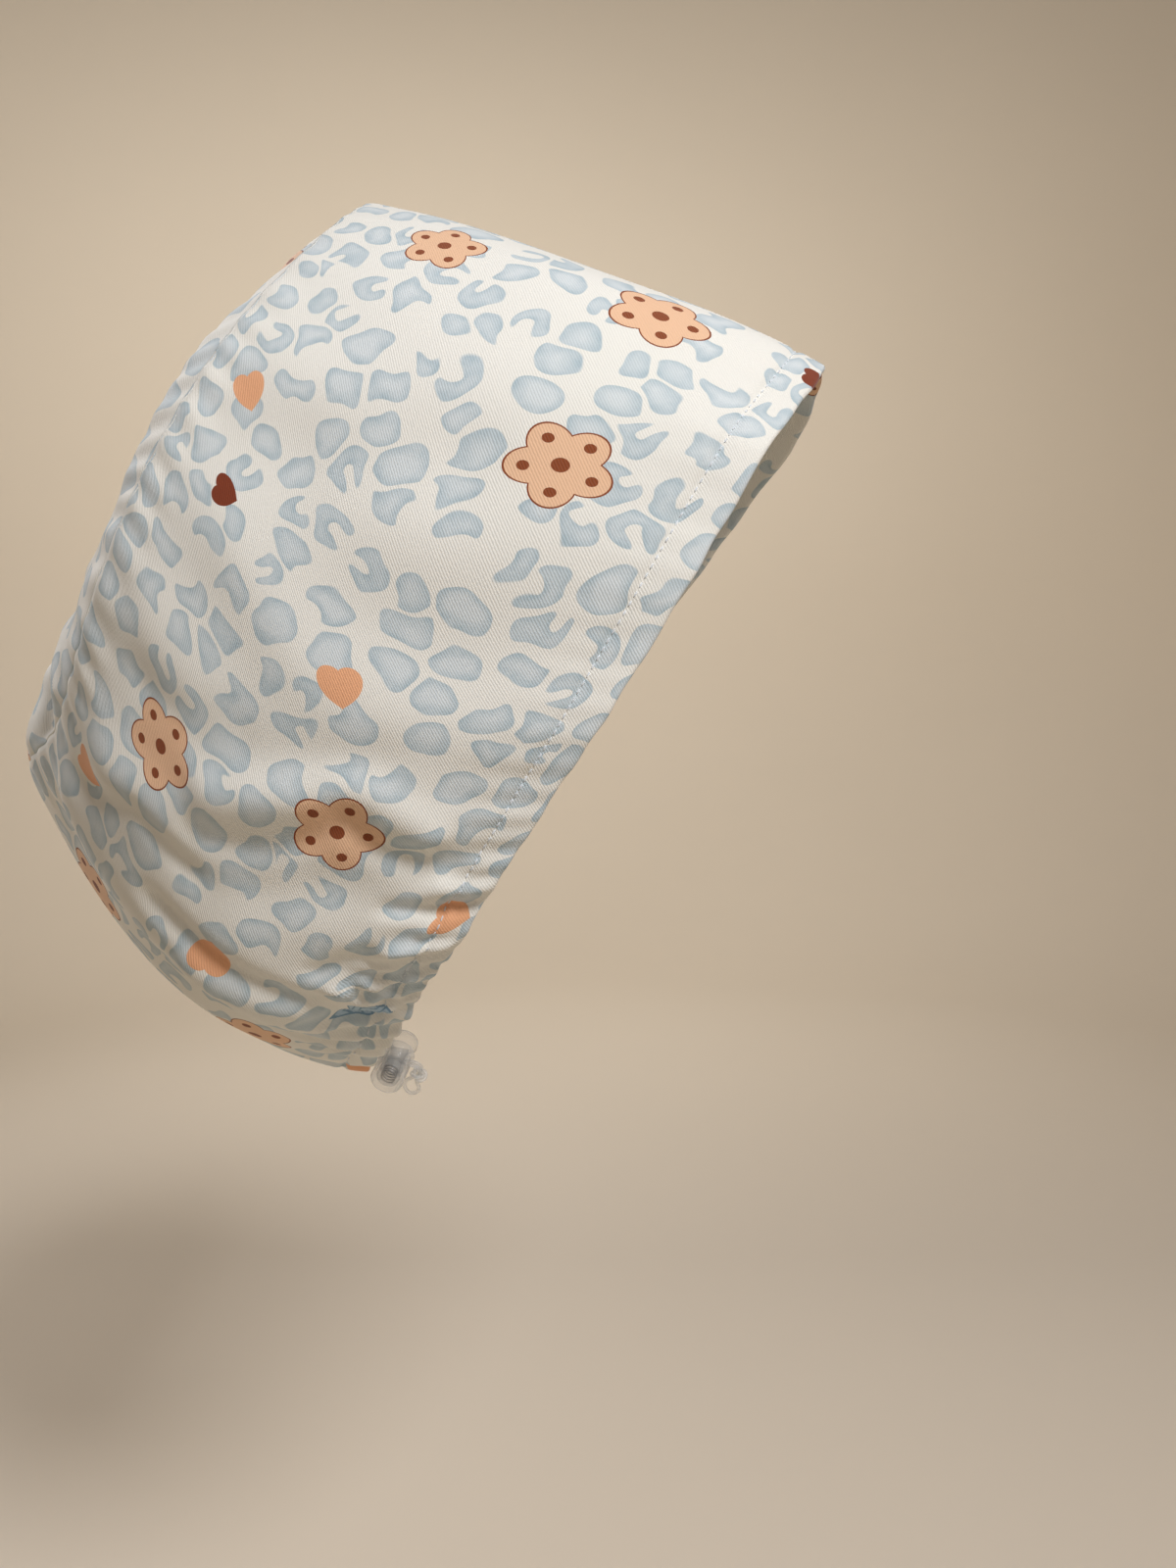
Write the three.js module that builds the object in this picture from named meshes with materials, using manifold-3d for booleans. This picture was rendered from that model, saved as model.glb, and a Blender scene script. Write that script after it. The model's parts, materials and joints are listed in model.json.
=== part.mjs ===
// A gathered scrub cap, as it stands on a head: one broad band of printed cotton from brow to nape, an oval
// crown panel sewn to its back edge, a turned hem round the face, and at the nape an elastic cord drawn
// through a small clear cord lock with a sprung button.
// Millimetres. X points forward, Y to the wearer's left, Z up. The origin is where the top of the head
// touches the inside of the cloth.
import * as THREE from "three";
import { mergeVertices } from "three/addons/utils/BufferGeometryUtils.js";
import Module from "manifold-3d";

const wasm = await Module();
wasm.setup();

// The cap as it is worn
const capLength = 244; // brow to the back corner of the crown seam
const capHeight = 263; // top of the crown seam to the nape
const capWidth = 168; // across the fullest part of the sides
const crownDome = 8; // how far the crown panel swells out of its seam
const crownHang = 1.1; // it is fuller low down than high up by this share of crownDome

// Cloth
const clothWall = 1.2;
const hemDepth = 11; // the turned edge, from its fold to its stitching
const hemWall = 2.4; // two layers of cloth and the turning between them
const panelGap = 0.3; // between panels that are sewn together

// Gathers drawn up by the elastic at the nape, and the soft folds of the sides
const gatherDepth = 1.4;
const gatherReach = 0.3; // how far up the band they run, as a share of its depth
const gatherZone = 0.35; // the share of each side, counted from the nape, that is gathered
const gathersPerSide = 7;
const foldHeight = 4;
const foldWidth = 16;
const foldSettle = 0.12; // folds fade out over this share of the band's depth beside the crown seam

// Elastic cord and its knot
const cordDiameter = 1.2;
const cordSpacing = 1.5; // between the middles of the two strands where they lie side by side
const cordGap = 0.3;
const casingGap = 0.4; // between the hem's fold and the ends of the cord
const strandExits = [0.492, 0.502]; // where the strands leave the casing; 0.5 is the middle of the nape
const knotHeight = 2.2;
const knotWall = 1.1;
const knotMouth = 0.6; // height of the knot's inside, as a share of knotHeight
const knotFlat = 0.4; // height of its straight outside

// Cord lock: a clear barrel, a sprung button that slides in it, and the holes that the cord runs through
const barrelDiameter = 10.4;
const barrelWall = 1.5;
const barrelFloor = 1.4;
const barrelLength = 13.6;
const barrelEdge = 0.6; // rounding of its rims
const lockEase = 0.3; // sliding clearance
const buttonTravel = 3.2;
const buttonHeadDiameter = 9.4;
const buttonHeadRim = 1.2;
const buttonDome = 2.4;
const slotWidth = 3;
const slotFloor = 1.2; // plastic between the spring and the slot
const barrelHoleDiameter = 4;
const springWire = 0.5;
const springInset = 1.2; // from the side of the button to the middle of the wire
const springTurns = 4.5;
const springLength = 5.5;
const lockStandoff = 1.6; // from the nape hem to the barrel
const lockRise = 0.5; // the lock's middle above the edge of the hem
const lockShift = -3.2; // towards the wearer's right
const lockAxis = new THREE.Vector3(0.19, 0.88, 0.44).normalize(); // from the closed end to the button
const cordHeading = new THREE.Vector3(1, 0, -0.15); // roughly the way the cord leaves the nape

// Fineness of the cloth solids
const plainColumns = 22; // round each side, from the brow to the gathers
const columnsPerGather = 4;
const bandRows = 11;
const crownRings = 5;
const roundSides = 24;
const holeSides = 16;
const slotSegments = 8;
const domeSteps = 4;
const springSides = 6;
const stepsPerSpringTurn = 12;
const cordSides = 8;
const cordSteps = 48;

// Stations from the brow round one side to the nape, as shares of capLength, of half capWidth and of
// capHeight: the hem's fold, the fullest line of the band, and the crown seam.
const hemStations = [
  { forward: 0.311, side: 0, up: -0.112 },
  { forward: 0.277, side: 0.41, up: -0.158 },
  { forward: 0.211, side: 0.69, up: -0.242 },
  { forward: 0.145, side: 0.83, up: -0.345 },
  { forward: 0.073, side: 0.89, up: -0.455 },
  { forward: 0.004, side: 0.91, up: -0.554 },
  { forward: -0.061, side: 0.88, up: -0.646 },
  { forward: -0.122, side: 0.81, up: -0.733 },
  { forward: -0.176, side: 0.67, up: -0.809 },
  { forward: -0.226, side: 0.42, up: -0.878 },
  { forward: -0.27, side: 0, up: -0.931 },
];
const fullStations = [
  { forward: 0.031, side: 0, up: -0.012 },
  { forward: 0.008, side: 0.46, up: -0.051 },
  { forward: -0.061, side: 0.76, up: -0.15 },
  { forward: -0.132, side: 0.92, up: -0.263 },
  { forward: -0.197, side: 0.98, up: -0.383 },
  { forward: -0.246, side: 1, up: -0.489 },
  { forward: -0.295, side: 0.98, up: -0.596 },
  { forward: -0.352, side: 0.91, up: -0.694 },
  { forward: -0.412, side: 0.74, up: -0.767 },
  { forward: -0.468, side: 0.44, up: -0.816 },
  { forward: -0.5, side: 0, up: -0.834 },
];
const seamStations = [
  { forward: -0.256, side: 0, up: 0.069 },
  { forward: -0.262, side: 0.36, up: 0.023 },
  { forward: -0.301, side: 0.64, up: -0.057 },
  { forward: -0.351, side: 0.82, up: -0.14 },
  { forward: -0.399, side: 0.915, up: -0.224 },
  { forward: -0.446, side: 0.95, up: -0.311 },
  { forward: -0.489, side: 0.93, up: -0.398 },
  { forward: -0.529, side: 0.84, up: -0.474 },
  { forward: -0.575, side: 0.66, up: -0.527 },
  { forward: -0.648, side: 0.38, up: -0.561 },
  { forward: -0.689, side: 0, up: -0.569 },
];
const crownMiddle = { forward: -0.532, side: 0, up: -0.35 };

// Folds of the sides. Each runs between two places on the band: around is the share of the way from brow to
// nape and down the share from hem to seam. wide and high are shares of foldWidth and foldHeight.
const folds = [
  { around: 0.79, down: 1, toAround: 0.79, toDown: 0.3, wide: 1, high: 0.9 },
  { around: 0.87, down: 0.85, toAround: 0.86, toDown: 0.3, wide: 0.9, high: -0.7 },
  { around: 0.7, down: 0.84, toAround: 0.64, toDown: 0.5, wide: 0.6, high: 0.5 },
  { around: 0.345, down: 0.72, toAround: 0.31, toDown: 0.48, wide: 0.9, high: -0.6 },
  { around: 0.64, down: 0.5, toAround: 0.64, toDown: 0.33, wide: 0.8, high: -0.7 },
];

// The elastic cord in and past the lock, from the middle of the lock's hole, in mm along X, Y and Z. It goes
// in through the lock, turns down into the knot, makes a small loop and comes back beside itself.
const cordOutward = [
  [-5.98, -0.01, 0.89],
  [-3.06, -0.34, 0.28],
  [-0.14, -0.66, -0.33],
  [2.78, -0.98, -0.94],
  [5.31, -1.26, -1.47],
  [7.1, -1.1, -2.5],
  [7.62, -0.4, -3.9],
  [7.1, 0.35, -5.25],
  [6.3, 1.14, -6.6],
  [6.5, 1.75, -8.3],
  [6.9, 2.2, -9.9],
  [6.2, 2.8, -11.3],
  [4.5, 3.2, -11.9],
];
const cordReturn = [
  [2.9, 3.3, -11.1],
  [2.2, 3.3, -9.5],
  [2.6, 3.2, -7.9],
  [4.3, 2.95, -6.8],
  [6.45, 2.46, -5.95],
  [7.4, 1.6, -4.6],
  [7.95, 0.9, -3.3],
  [7.4, 0.3, -1.85],
  [5.59, 0.06, -0.81],
  [3.06, 0.34, -0.28],
  [0.14, 0.66, 0.33],
  [-2.78, 0.98, 0.94],
  [-5.7, 1.31, 1.55],
];
const knotPlace = [7.1, 1.0, -4.95]; // the knot's middle, from the same point
const knotHeading = new THREE.Vector3(-0.44, 0.48, -0.76).normalize();

const printedCotton = new THREE.MeshStandardMaterial({ color: 0xdfe1e2, roughness: 0.9, metalness: 0 });
const crownCotton = new THREE.MeshStandardMaterial({ color: 0xc9d1da, roughness: 0.9, metalness: 0 });
const hemCotton = new THREE.MeshStandardMaterial({ color: 0xe9e6e0, roughness: 0.9, metalness: 0 });
const clearPlastic = new THREE.MeshStandardMaterial({
  color: 0xd9dcdc, roughness: 0.15, metalness: 0, transparent: true, opacity: 0.45,
});
const springSteel = new THREE.MeshStandardMaterial({ color: 0x8d9095, roughness: 0.3, metalness: 1 });

// Where the cloth lies

function placeOf({ forward, side, up }) {
  return new THREE.Vector3(forward * capLength, (-side * capWidth) / 2, up * capHeight);
}

// A loop round the cap. The stations give the wearer's right side, and the left side mirrors them.
function loopThrough(stations) {
  const right = stations.map(placeOf);
  const left = right.slice(1, -1).reverse().map((point) => new THREE.Vector3(point.x, -point.y, point.z));
  return new THREE.CatmullRomCurve3([...right, ...left], true, "catmullrom", 0.5);
}

const hemLoop = loopThrough(hemStations);
const fullLoop = loopThrough(fullStations);
const seamLoop = loopThrough(seamStations);
const halfGirth = fullLoop.getLength() / 2;

// round runs from 0 at the brow through 0.5 at the nape to 1, down from 0 at the hem to 1 at the seam.
function bandBase(round, down) {
  return new THREE.Vector3()
    .addScaledVector(hemLoop.getPoint(round), (2 * down - 1) * (down - 1))
    .addScaledVector(fullLoop.getPoint(round), 4 * down * (1 - down))
    .addScaledVector(seamLoop.getPoint(round), down * (2 * down - 1));
}

const nudge = 0.002;
const wrapped = (round) => (round + 1) % 1;

function slopes(surface, round, down) {
  const across = surface(wrapped(round + nudge), down).sub(surface(wrapped(round - nudge), down));
  const along = surface(round, down + nudge).sub(surface(round, down - nudge));
  return { across: across.normalize(), along: along.normalize() };
}

function bandNormal(round, down) {
  const { across, along } = slopes(bandBase, round, down);
  return along.cross(across).normalize();
}

const bandDepthSteps = 20;
function bandDepth(round) {
  let depth = 0;
  for (let step = 0; step < bandDepthSteps; step += 1) {
    const from = bandBase(round, step / bandDepthSteps);
    depth += from.distanceTo(bandBase(round, (step + 1) / bandDepthSteps));
  }
  return depth;
}
const sideDepth = bandDepth(0.25);

// How far the cloth stands off its smooth form: gathers near the nape hem and a few soft folds.
function relief(round, down) {
  const around = 1 - Math.abs(2 * round - 1);
  const towardNape = THREE.MathUtils.smoothstep(around, 1 - gatherZone, 1 - gatherZone / 2);
  const wave = Math.cos((2 * Math.PI * gathersPerSide * (1 - around)) / gatherZone);
  let height = gatherDepth * wave * towardNape * Math.exp(-((down / gatherReach) ** 2));
  const settle = THREE.MathUtils.smoothstep(1 - down, 0, foldSettle);
  for (const fold of folds) {
    const length = new THREE.Vector2(fold.toAround - fold.around, fold.toDown - fold.down);
    const offset = new THREE.Vector2(around - fold.around, down - fold.down);
    const girths = new THREE.Vector2(halfGirth, sideDepth);
    length.multiply(girths);
    offset.multiply(girths);
    const share = THREE.MathUtils.clamp(offset.dot(length) / length.lengthSq(), 0, 1);
    const away = offset.addScaledVector(length, -share).length() / (fold.wide * foldWidth);
    height += fold.high * foldHeight * settle * Math.exp(-away * away);
  }
  return height;
}

function bandPoint(round, down, inward = 0) {
  return bandBase(round, down).addScaledVector(bandNormal(round, down), relief(round, down) - inward);
}

const seamTop = placeOf(seamStations[0]);
const seamBottom = placeOf(seamStations.at(-1));
const crownCentre = placeOf(crownMiddle);
const crownAxis = new THREE.Vector3(0, 1, 0).cross(seamTop.clone().sub(seamBottom)).normalize().negate();
const crownDown = seamBottom.clone().sub(seamTop).normalize();
const crownHalfHeight = seamTop.distanceTo(seamBottom) / 2;
const domeFlatness = 2.4;

// out runs from 0 at the middle of the crown panel to 1 at its seam.
function crownBase(round, out) {
  const toSeam = seamLoop.getPoint(round).sub(crownCentre);
  const fullness = 1 + (crownHang * out * toSeam.dot(crownDown)) / crownHalfHeight;
  const swell = crownDome * fullness * (1 - out ** domeFlatness) + toSeam.dot(crownAxis) * (out * out - out);
  return crownCentre.clone().addScaledVector(toSeam, out).addScaledVector(crownAxis, swell);
}

function crownNormal(round, out) {
  const { across, along } = slopes(crownBase, round, out);
  return across.cross(along).normalize();
}

// At the seam both panels are cut along the same mitre, half of panelGap back from it.
function seamCut(round) {
  const onSeam = seamLoop.getPoint(round);
  const bandOut = bandNormal(round, 1);
  const crownOut = crownNormal(round, 1 - nudge);
  const inner = bandOut.clone().add(crownOut).multiplyScalar(-clothWall / (1 + bandOut.dot(crownOut)));
  const bandHeading = slopes(bandBase, round, 1).along;
  const crownHeading = slopes(crownBase, round, 1 - nudge).along.negate();
  const apart = bandHeading.add(crownHeading).normalize().multiplyScalar(panelGap / 2);
  return { onSeam, inner, apart };
}

// Closed skins

// rings is a list of rings, each a list of points; a ring of one point closes an end of the skin.
function skin(rings, closed) {
  const positions = [];
  const starts = rings.map((ring) => {
    const start = positions.length / 3;
    ring.forEach((point) => positions.push(point.x, point.y, point.z));
    return start;
  });
  const triangles = [];
  const pairs = closed ? rings.length : rings.length - 1;
  for (let i = 0; i < pairs; i += 1) {
    const k = (i + 1) % rings.length;
    const count = Math.max(rings[i].length, rings[k].length);
    for (let j = 0; j < count; j += 1) {
      const next = (j + 1) % count;
      const a = starts[i] + (rings[i].length > 1 ? j : 0);
      const b = starts[k] + (rings[k].length > 1 ? j : 0);
      const c = starts[k] + (rings[k].length > 1 ? next : 0);
      const d = starts[i] + (rings[i].length > 1 ? next : 0);
      if (b !== c) triangles.push(a, b, c);
      if (a !== d) triangles.push(a, c, d);
    }
  }
  const geometry = new THREE.BufferGeometry();
  geometry.setAttribute("position", new THREE.Float32BufferAttribute(positions, 3));
  geometry.setIndex(triangles);
  geometry.computeVertexNormals();
  return geometry;
}

// Places round the cap, closer together where the nape is gathered
function columnPlaces() {
  const side = [];
  for (let i = 0; i < plainColumns; i += 1) side.push(((1 - gatherZone) * i) / plainColumns);
  const fine = gathersPerSide * columnsPerGather;
  for (let i = 0; i <= fine; i += 1) side.push(1 - gatherZone + (gatherZone * i) / fine);
  const back = side.slice(1, -1).reverse().map((around) => 2 - around);
  return [...side, ...back].map((around) => around / 2);
}
const columns = columnPlaces();
const ringOf = (pointAt) => columns.map(pointAt);
const hemShare = (round) => hemDepth / bandDepth(round);

function bandPanel() {
  const startOf = (round) => hemShare(round) + panelGap / bandDepth(round);
  const rowAt = (round, row) => THREE.MathUtils.lerp(startOf(round), 1, row / bandRows);
  const outer = [];
  const inner = [];
  for (let row = 0; row < bandRows; row += 1) {
    outer.push(ringOf((round) => bandPoint(round, rowAt(round, row))));
    inner.unshift(ringOf((round) => bandPoint(round, rowAt(round, row), clothWall)));
  }
  const cuts = columns.map(seamCut);
  const outerEdge = cuts.map(({ onSeam, apart }) => onSeam.clone().sub(apart));
  const innerEdge = cuts.map(({ onSeam, inner: depth, apart }) => onSeam.clone().add(depth).sub(apart));
  return skin([...outer, outerEdge, innerEdge, ...inner], true);
}

function crownPanel() {
  const inner = [[crownCentre.clone().addScaledVector(crownAxis, crownDome - clothWall)]];
  const outer = [[crownCentre.clone().addScaledVector(crownAxis, crownDome)]];
  for (let ring = 1; ring < crownRings; ring += 1) {
    const out = ring / crownRings;
    inner.push(ringOf((round) => crownBase(round, out).addScaledVector(crownNormal(round, out), -clothWall)));
    outer.unshift(ringOf((round) => crownBase(round, out)));
  }
  const cuts = columns.map(seamCut);
  const innerEdge = cuts.map(({ onSeam, inner: depth, apart }) => onSeam.clone().add(depth).add(apart));
  const outerEdge = cuts.map(({ onSeam, apart }) => onSeam.clone().add(apart));
  return skin([...inner, innerEdge, outerEdge, ...outer], false);
}

// The turned hem: double cloth with a round fold, which is also the casing of the elastic at the nape
function rimHem() {
  const foldShare = (round) => hemWall / 2 / bandDepth(round);
  const rows = [
    { share: () => 0, inward: hemWall / 2 },
    { share: foldShare, inward: 0 },
    { share: (round) => hemShare(round) / 2, inward: 0 },
    { share: hemShare, inward: 0 },
    { share: hemShare, inward: hemWall },
    { share: (round) => hemShare(round) / 2, inward: hemWall },
    { share: foldShare, inward: hemWall },
  ];
  return skin(rows.map(({ share, inward }) => ringOf((round) => bandPoint(round, share(round), inward))), true);
}

// The cord lock, along its own Z from the closed end

const boreRadius = barrelDiameter / 2 - barrelWall;
const plungerRadius = boreRadius - lockEase;
const plungerBottom = barrelFloor + buttonTravel + lockEase;
const springBottom = barrelFloor + lockEase;
const springTop = springBottom + springLength;
const springRadius = plungerRadius - springInset;
const slotBottom = springTop + slotFloor;
const strandReach = (cordSpacing + cordDiameter) / 2 + cordGap;
const holeHeight = slotBottom + strandReach;
const slotTop = holeHeight + strandReach + buttonTravel;
const headBottom = barrelLength + buttonTravel + lockEase;

function solidOf(geometry) {
  const bare = geometry.clone();
  bare.deleteAttribute("normal");
  bare.deleteAttribute("uv");
  const merged = mergeVertices(bare, 1e-5);
  return new wasm.Manifold(new wasm.Mesh({
    numProp: 3,
    vertProperties: new Float32Array(merged.attributes.position.array),
    triVerts: new Uint32Array(merged.index.array),
  }));
}

function geometryOf(solid) {
  const mesh = solid.getMesh();
  const geometry = new THREE.BufferGeometry();
  geometry.setAttribute("position", new THREE.BufferAttribute(mesh.vertProperties, 3));
  geometry.setIndex(new THREE.BufferAttribute(mesh.triVerts, 1));
  geometry.computeVertexNormals();
  return geometry;
}

// Turned about Z from a profile of radius and height, which runs up the outside.
function turned(profile) {
  const points = profile.map(([radius, height]) => new THREE.Vector2(radius, height));
  return new THREE.LatheGeometry(points, roundSides).rotateX(Math.PI / 2);
}

function lockBarrel() {
  const outside = barrelDiameter / 2;
  const body = solidOf(turned([
    [0, 0],
    [outside - 2 * barrelEdge, 0],
    [outside - barrelEdge / 2, barrelEdge / 2],
    [outside, 2 * barrelEdge],
    [outside, barrelLength - barrelEdge],
    [outside - barrelEdge, barrelLength],
    [boreRadius, barrelLength],
    [boreRadius, barrelFloor],
    [0, barrelFloor],
  ]));
  const holeRadius = barrelHoleDiameter / 2;
  const drill = new THREE.CylinderGeometry(holeRadius, holeRadius, 2 * barrelDiameter, holeSides);
  drill.rotateZ(Math.PI / 2).translate(0, 0, holeHeight);
  return geometryOf(body.subtract(solidOf(drill)));
}

function lockButton() {
  const head = buttonHeadDiameter / 2;
  const rim = headBottom + buttonHeadRim;
  const springBore = springRadius + springWire / 2 + lockEase;
  const profile = [
    [0, springTop + cordGap],
    [springBore, springTop + cordGap],
    [springBore, plungerBottom],
    [plungerRadius, plungerBottom],
    [plungerRadius, headBottom],
    [head, headBottom],
    [head, rim],
  ];
  for (let step = 1; step <= domeSteps; step += 1) {
    const turn = (step / domeSteps) * (Math.PI / 2);
    profile.push([head * Math.cos(turn), rim + buttonDome * Math.sin(turn)]);
  }
  profile.at(-1)[0] = 0;
  const body = solidOf(turned(profile));
  const half = slotWidth / 2;
  const outline = new THREE.Shape();
  outline.absarc(0, slotTop - half, half, 0, Math.PI);
  outline.absarc(0, slotBottom + half, half, Math.PI, 2 * Math.PI);
  outline.closePath();
  const slot = new THREE.ExtrudeGeometry(outline, {
    depth: 2 * barrelDiameter, bevelEnabled: false, curveSegments: slotSegments,
  });
  slot.translate(0, 0, -barrelDiameter).rotateX(Math.PI / 2).rotateZ(Math.PI / 2);
  return geometryOf(body.subtract(solidOf(slot)));
}

class SpringLine extends THREE.Curve {
  getPoint(share, target = new THREE.Vector3()) {
    const turn = 2 * Math.PI * springTurns * share;
    const low = springBottom + springWire / 2;
    const height = low + (springLength - springWire) * share;
    return target.set(springRadius * Math.cos(turn), springRadius * Math.sin(turn), height);
  }
}

function roundSection(diameter, sides) {
  const section = new THREE.Shape();
  for (let i = 0; i < sides; i += 1) {
    const turn = (2 * Math.PI * i) / sides;
    const place = [(diameter / 2) * Math.cos(turn), (diameter / 2) * Math.sin(turn)];
    if (i === 0) section.moveTo(...place);
    else section.lineTo(...place);
  }
  section.closePath();
  return section;
}

function wireAlong(curve, diameter, steps, sides) {
  return new THREE.ExtrudeGeometry(roundSection(diameter, sides), { steps, extrudePath: curve, bevelEnabled: false });
}

const lockSpring = () => wireAlong(
  new SpringLine(), springWire, springTurns * stepsPerSpringTurn, springSides);

// The lock hangs just in front of the nape hem, its hole facing the casing.
const napeFold = bandPoint(0.5, 0);
const lockMiddle = new THREE.Vector3(
  napeFold.x + barrelDiameter / 2 + lockStandoff + hemWall / 2, lockShift, bandBase(0.5, 0).z + lockRise);
const holeHeading = cordHeading.clone().addScaledVector(lockAxis, -cordHeading.dot(lockAxis)).normalize();
const lock = new THREE.Group();
lock.quaternion.setFromRotationMatrix(new THREE.Matrix4().makeBasis(
  holeHeading, lockAxis.clone().cross(holeHeading), lockAxis));
lock.position.copy(lockMiddle).addScaledVector(lockAxis, -holeHeight);

// Where a strand comes out of the fold of the nape hem
function casingExit(round) {
  const fold = bandPoint(round, 0, hemWall / 2);
  const outward = slopes(bandBase, round, nudge).along.negate();
  return fold.addScaledVector(outward, casingGap);
}

function elasticCord() {
  const placed = (points) => points.map((point) => new THREE.Vector3(...point).add(lockMiddle));
  const [cordStart, cordEnd] = strandExits.map(casingExit);
  const route = [cordStart, ...placed(cordOutward), ...placed(cordReturn), cordEnd];
  const curve = new THREE.CatmullRomCurve3(route, false, "centripetal");
  return wireAlong(curve, cordDiameter, cordSteps, cordSides);
}

function cordKnot() {
  const inner = (cordSpacing + cordDiameter) / 2 + cordGap;
  const half = knotHeight / 2;
  const ring = turned([
    [inner, -half * knotMouth],
    [inner + knotWall / 2, -half],
    [inner + knotWall, -half * knotFlat],
    [inner + knotWall, half * knotFlat],
    [inner + knotWall / 2, half],
    [inner, half * knotMouth],
    [inner, -half * knotMouth],
  ]);
  const turn = new THREE.Quaternion().setFromUnitVectors(new THREE.Vector3(0, 0, 1), knotHeading);
  ring.applyQuaternion(turn);
  return ring.translate(...new THREE.Vector3(...knotPlace).add(lockMiddle));
}

// The pieces by name

const cap = new THREE.Group();
function add(group, name, geometry, material) {
  const mesh = new THREE.Mesh(geometry, material);
  mesh.name = name;
  group.add(mesh);
}
add(cap, "band_panel", bandPanel(), printedCotton);
add(cap, "crown_panel", crownPanel(), crownCotton);
add(cap, "rim_hem", rimHem(), hemCotton);
add(cap, "elastic_cord", elasticCord(), clearPlastic);
add(cap, "cord_knot", cordKnot(), clearPlastic);
add(lock, "lock_barrel", lockBarrel(), clearPlastic);
add(lock, "lock_button", lockButton(), clearPlastic);
add(lock, "lock_spring", lockSpring(), springSteel);
cap.add(lock);

export default cap;
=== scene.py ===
# %% [markdown]
# # A gathered scrub cap
# The cap is sewn from three flat cuts of printed cotton: a deep band that goes over the head, an oval crown
# panel behind it, and a hem turned along the band's front edge. At the nape an elastic cord gathers the hem,
# and a clear cord lock holds the cord. The imported model gives every piece its real size and place, so this
# script builds the looks round it, in metres and in the same frame.

# %% The imported model
import json
import math

import bmesh
import bpy
import numpy as np
from mathutils import Matrix, Vector


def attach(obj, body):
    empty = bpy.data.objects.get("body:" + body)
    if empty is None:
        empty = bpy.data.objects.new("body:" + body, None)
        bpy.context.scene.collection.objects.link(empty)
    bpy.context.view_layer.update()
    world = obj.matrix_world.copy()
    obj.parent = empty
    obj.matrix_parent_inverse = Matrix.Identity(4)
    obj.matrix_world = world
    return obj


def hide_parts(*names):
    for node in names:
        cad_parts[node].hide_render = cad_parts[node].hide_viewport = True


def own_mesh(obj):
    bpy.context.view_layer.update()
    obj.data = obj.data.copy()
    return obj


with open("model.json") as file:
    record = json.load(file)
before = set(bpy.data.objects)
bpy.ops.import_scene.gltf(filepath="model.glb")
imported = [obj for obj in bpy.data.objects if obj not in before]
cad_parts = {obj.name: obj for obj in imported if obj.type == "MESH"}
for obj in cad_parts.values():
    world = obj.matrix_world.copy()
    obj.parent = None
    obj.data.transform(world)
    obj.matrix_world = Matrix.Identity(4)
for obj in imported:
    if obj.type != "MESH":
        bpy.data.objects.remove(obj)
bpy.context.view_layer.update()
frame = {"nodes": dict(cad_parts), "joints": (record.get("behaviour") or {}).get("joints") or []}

MM = 0.001
nodes = frame["nodes"]
joint = frame["joints"][0]

# %% [markdown]
# ## The camera
# The photograph was taken with a phone's main lens, held level with the cap and a third of a metre away. A
# short distance makes the near side look large, so a longer lens from further off would give another
# outline. The camera comes first, because every later choice is judged through it.

# %% Camera at the photograph's place
camera_place = (0.003, -0.370, -0.131)
camera_dip = math.radians(4)
lens_mm, sensor_mm = 27.045, 36


def add_object(name, data):
    piece = bpy.data.objects.new(name, data)
    bpy.context.scene.collection.objects.link(piece)
    return piece


camera_data = bpy.data.cameras.new("camera")
camera_data.lens = lens_mm
camera_data.sensor_width = sensor_mm
camera = add_object("camera", camera_data)
camera.location = camera_place
camera.rotation_euler = (math.pi / 2 - camera_dip, 0, 0)
bpy.context.scene.camera = camera
print("camera at", camera_place, "looking down", math.degrees(camera_dip), "degrees")

# %% [markdown]
# ## The form of the cloth
# A worn cap is a smooth form that three lines describe well: the fold of the hem, the fullest line of the
# band, and the seam of the crown. Each line is a closed curve through a few stations on the wearer's right
# side, mirrored to the left. They could be modelled by hand as edge loops, but with a formula the same curve
# serves the cloth, the stitches and the cord, at any fineness.

# %% Stations of the three lines
cap_length, cap_height, cap_width = 244 * MM, 263 * MM, 168 * MM

# Shares of the length forwards, of half the width sideways, and of the height upwards, from brow to nape
hem_stations = [
    (0.311, 0, -0.112), (0.277, 0.41, -0.158), (0.211, 0.69, -0.242), (0.145, 0.83, -0.345),
    (0.073, 0.89, -0.455), (0.004, 0.91, -0.554), (-0.061, 0.88, -0.646), (-0.122, 0.81, -0.733),
    (-0.176, 0.67, -0.809), (-0.226, 0.42, -0.878), (-0.27, 0, -0.931),
]
full_stations = [
    (0.031, 0, -0.012), (0.008, 0.46, -0.051), (-0.061, 0.76, -0.15), (-0.132, 0.92, -0.263),
    (-0.197, 0.98, -0.383), (-0.246, 1, -0.489), (-0.295, 0.98, -0.596), (-0.352, 0.91, -0.694),
    (-0.412, 0.74, -0.767), (-0.468, 0.44, -0.816), (-0.5, 0, -0.834),
]
seam_stations = [
    (-0.256, 0, 0.069), (-0.262, 0.36, 0.023), (-0.301, 0.64, -0.057), (-0.351, 0.82, -0.14),
    (-0.399, 0.915, -0.224), (-0.446, 0.95, -0.311), (-0.489, 0.93, -0.398), (-0.529, 0.84, -0.474),
    (-0.575, 0.66, -0.527), (-0.648, 0.38, -0.561), (-0.689, 0, -0.569),
]
crown_middle = (-0.532, 0, -0.35)
to_metres = np.array([cap_length, -cap_width / 2, cap_height])


def loop_through(stations):
    right = np.array(stations) * to_metres
    left = right[-2:0:-1] * (1, -1, 1)
    return np.vstack([right, left])


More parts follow.
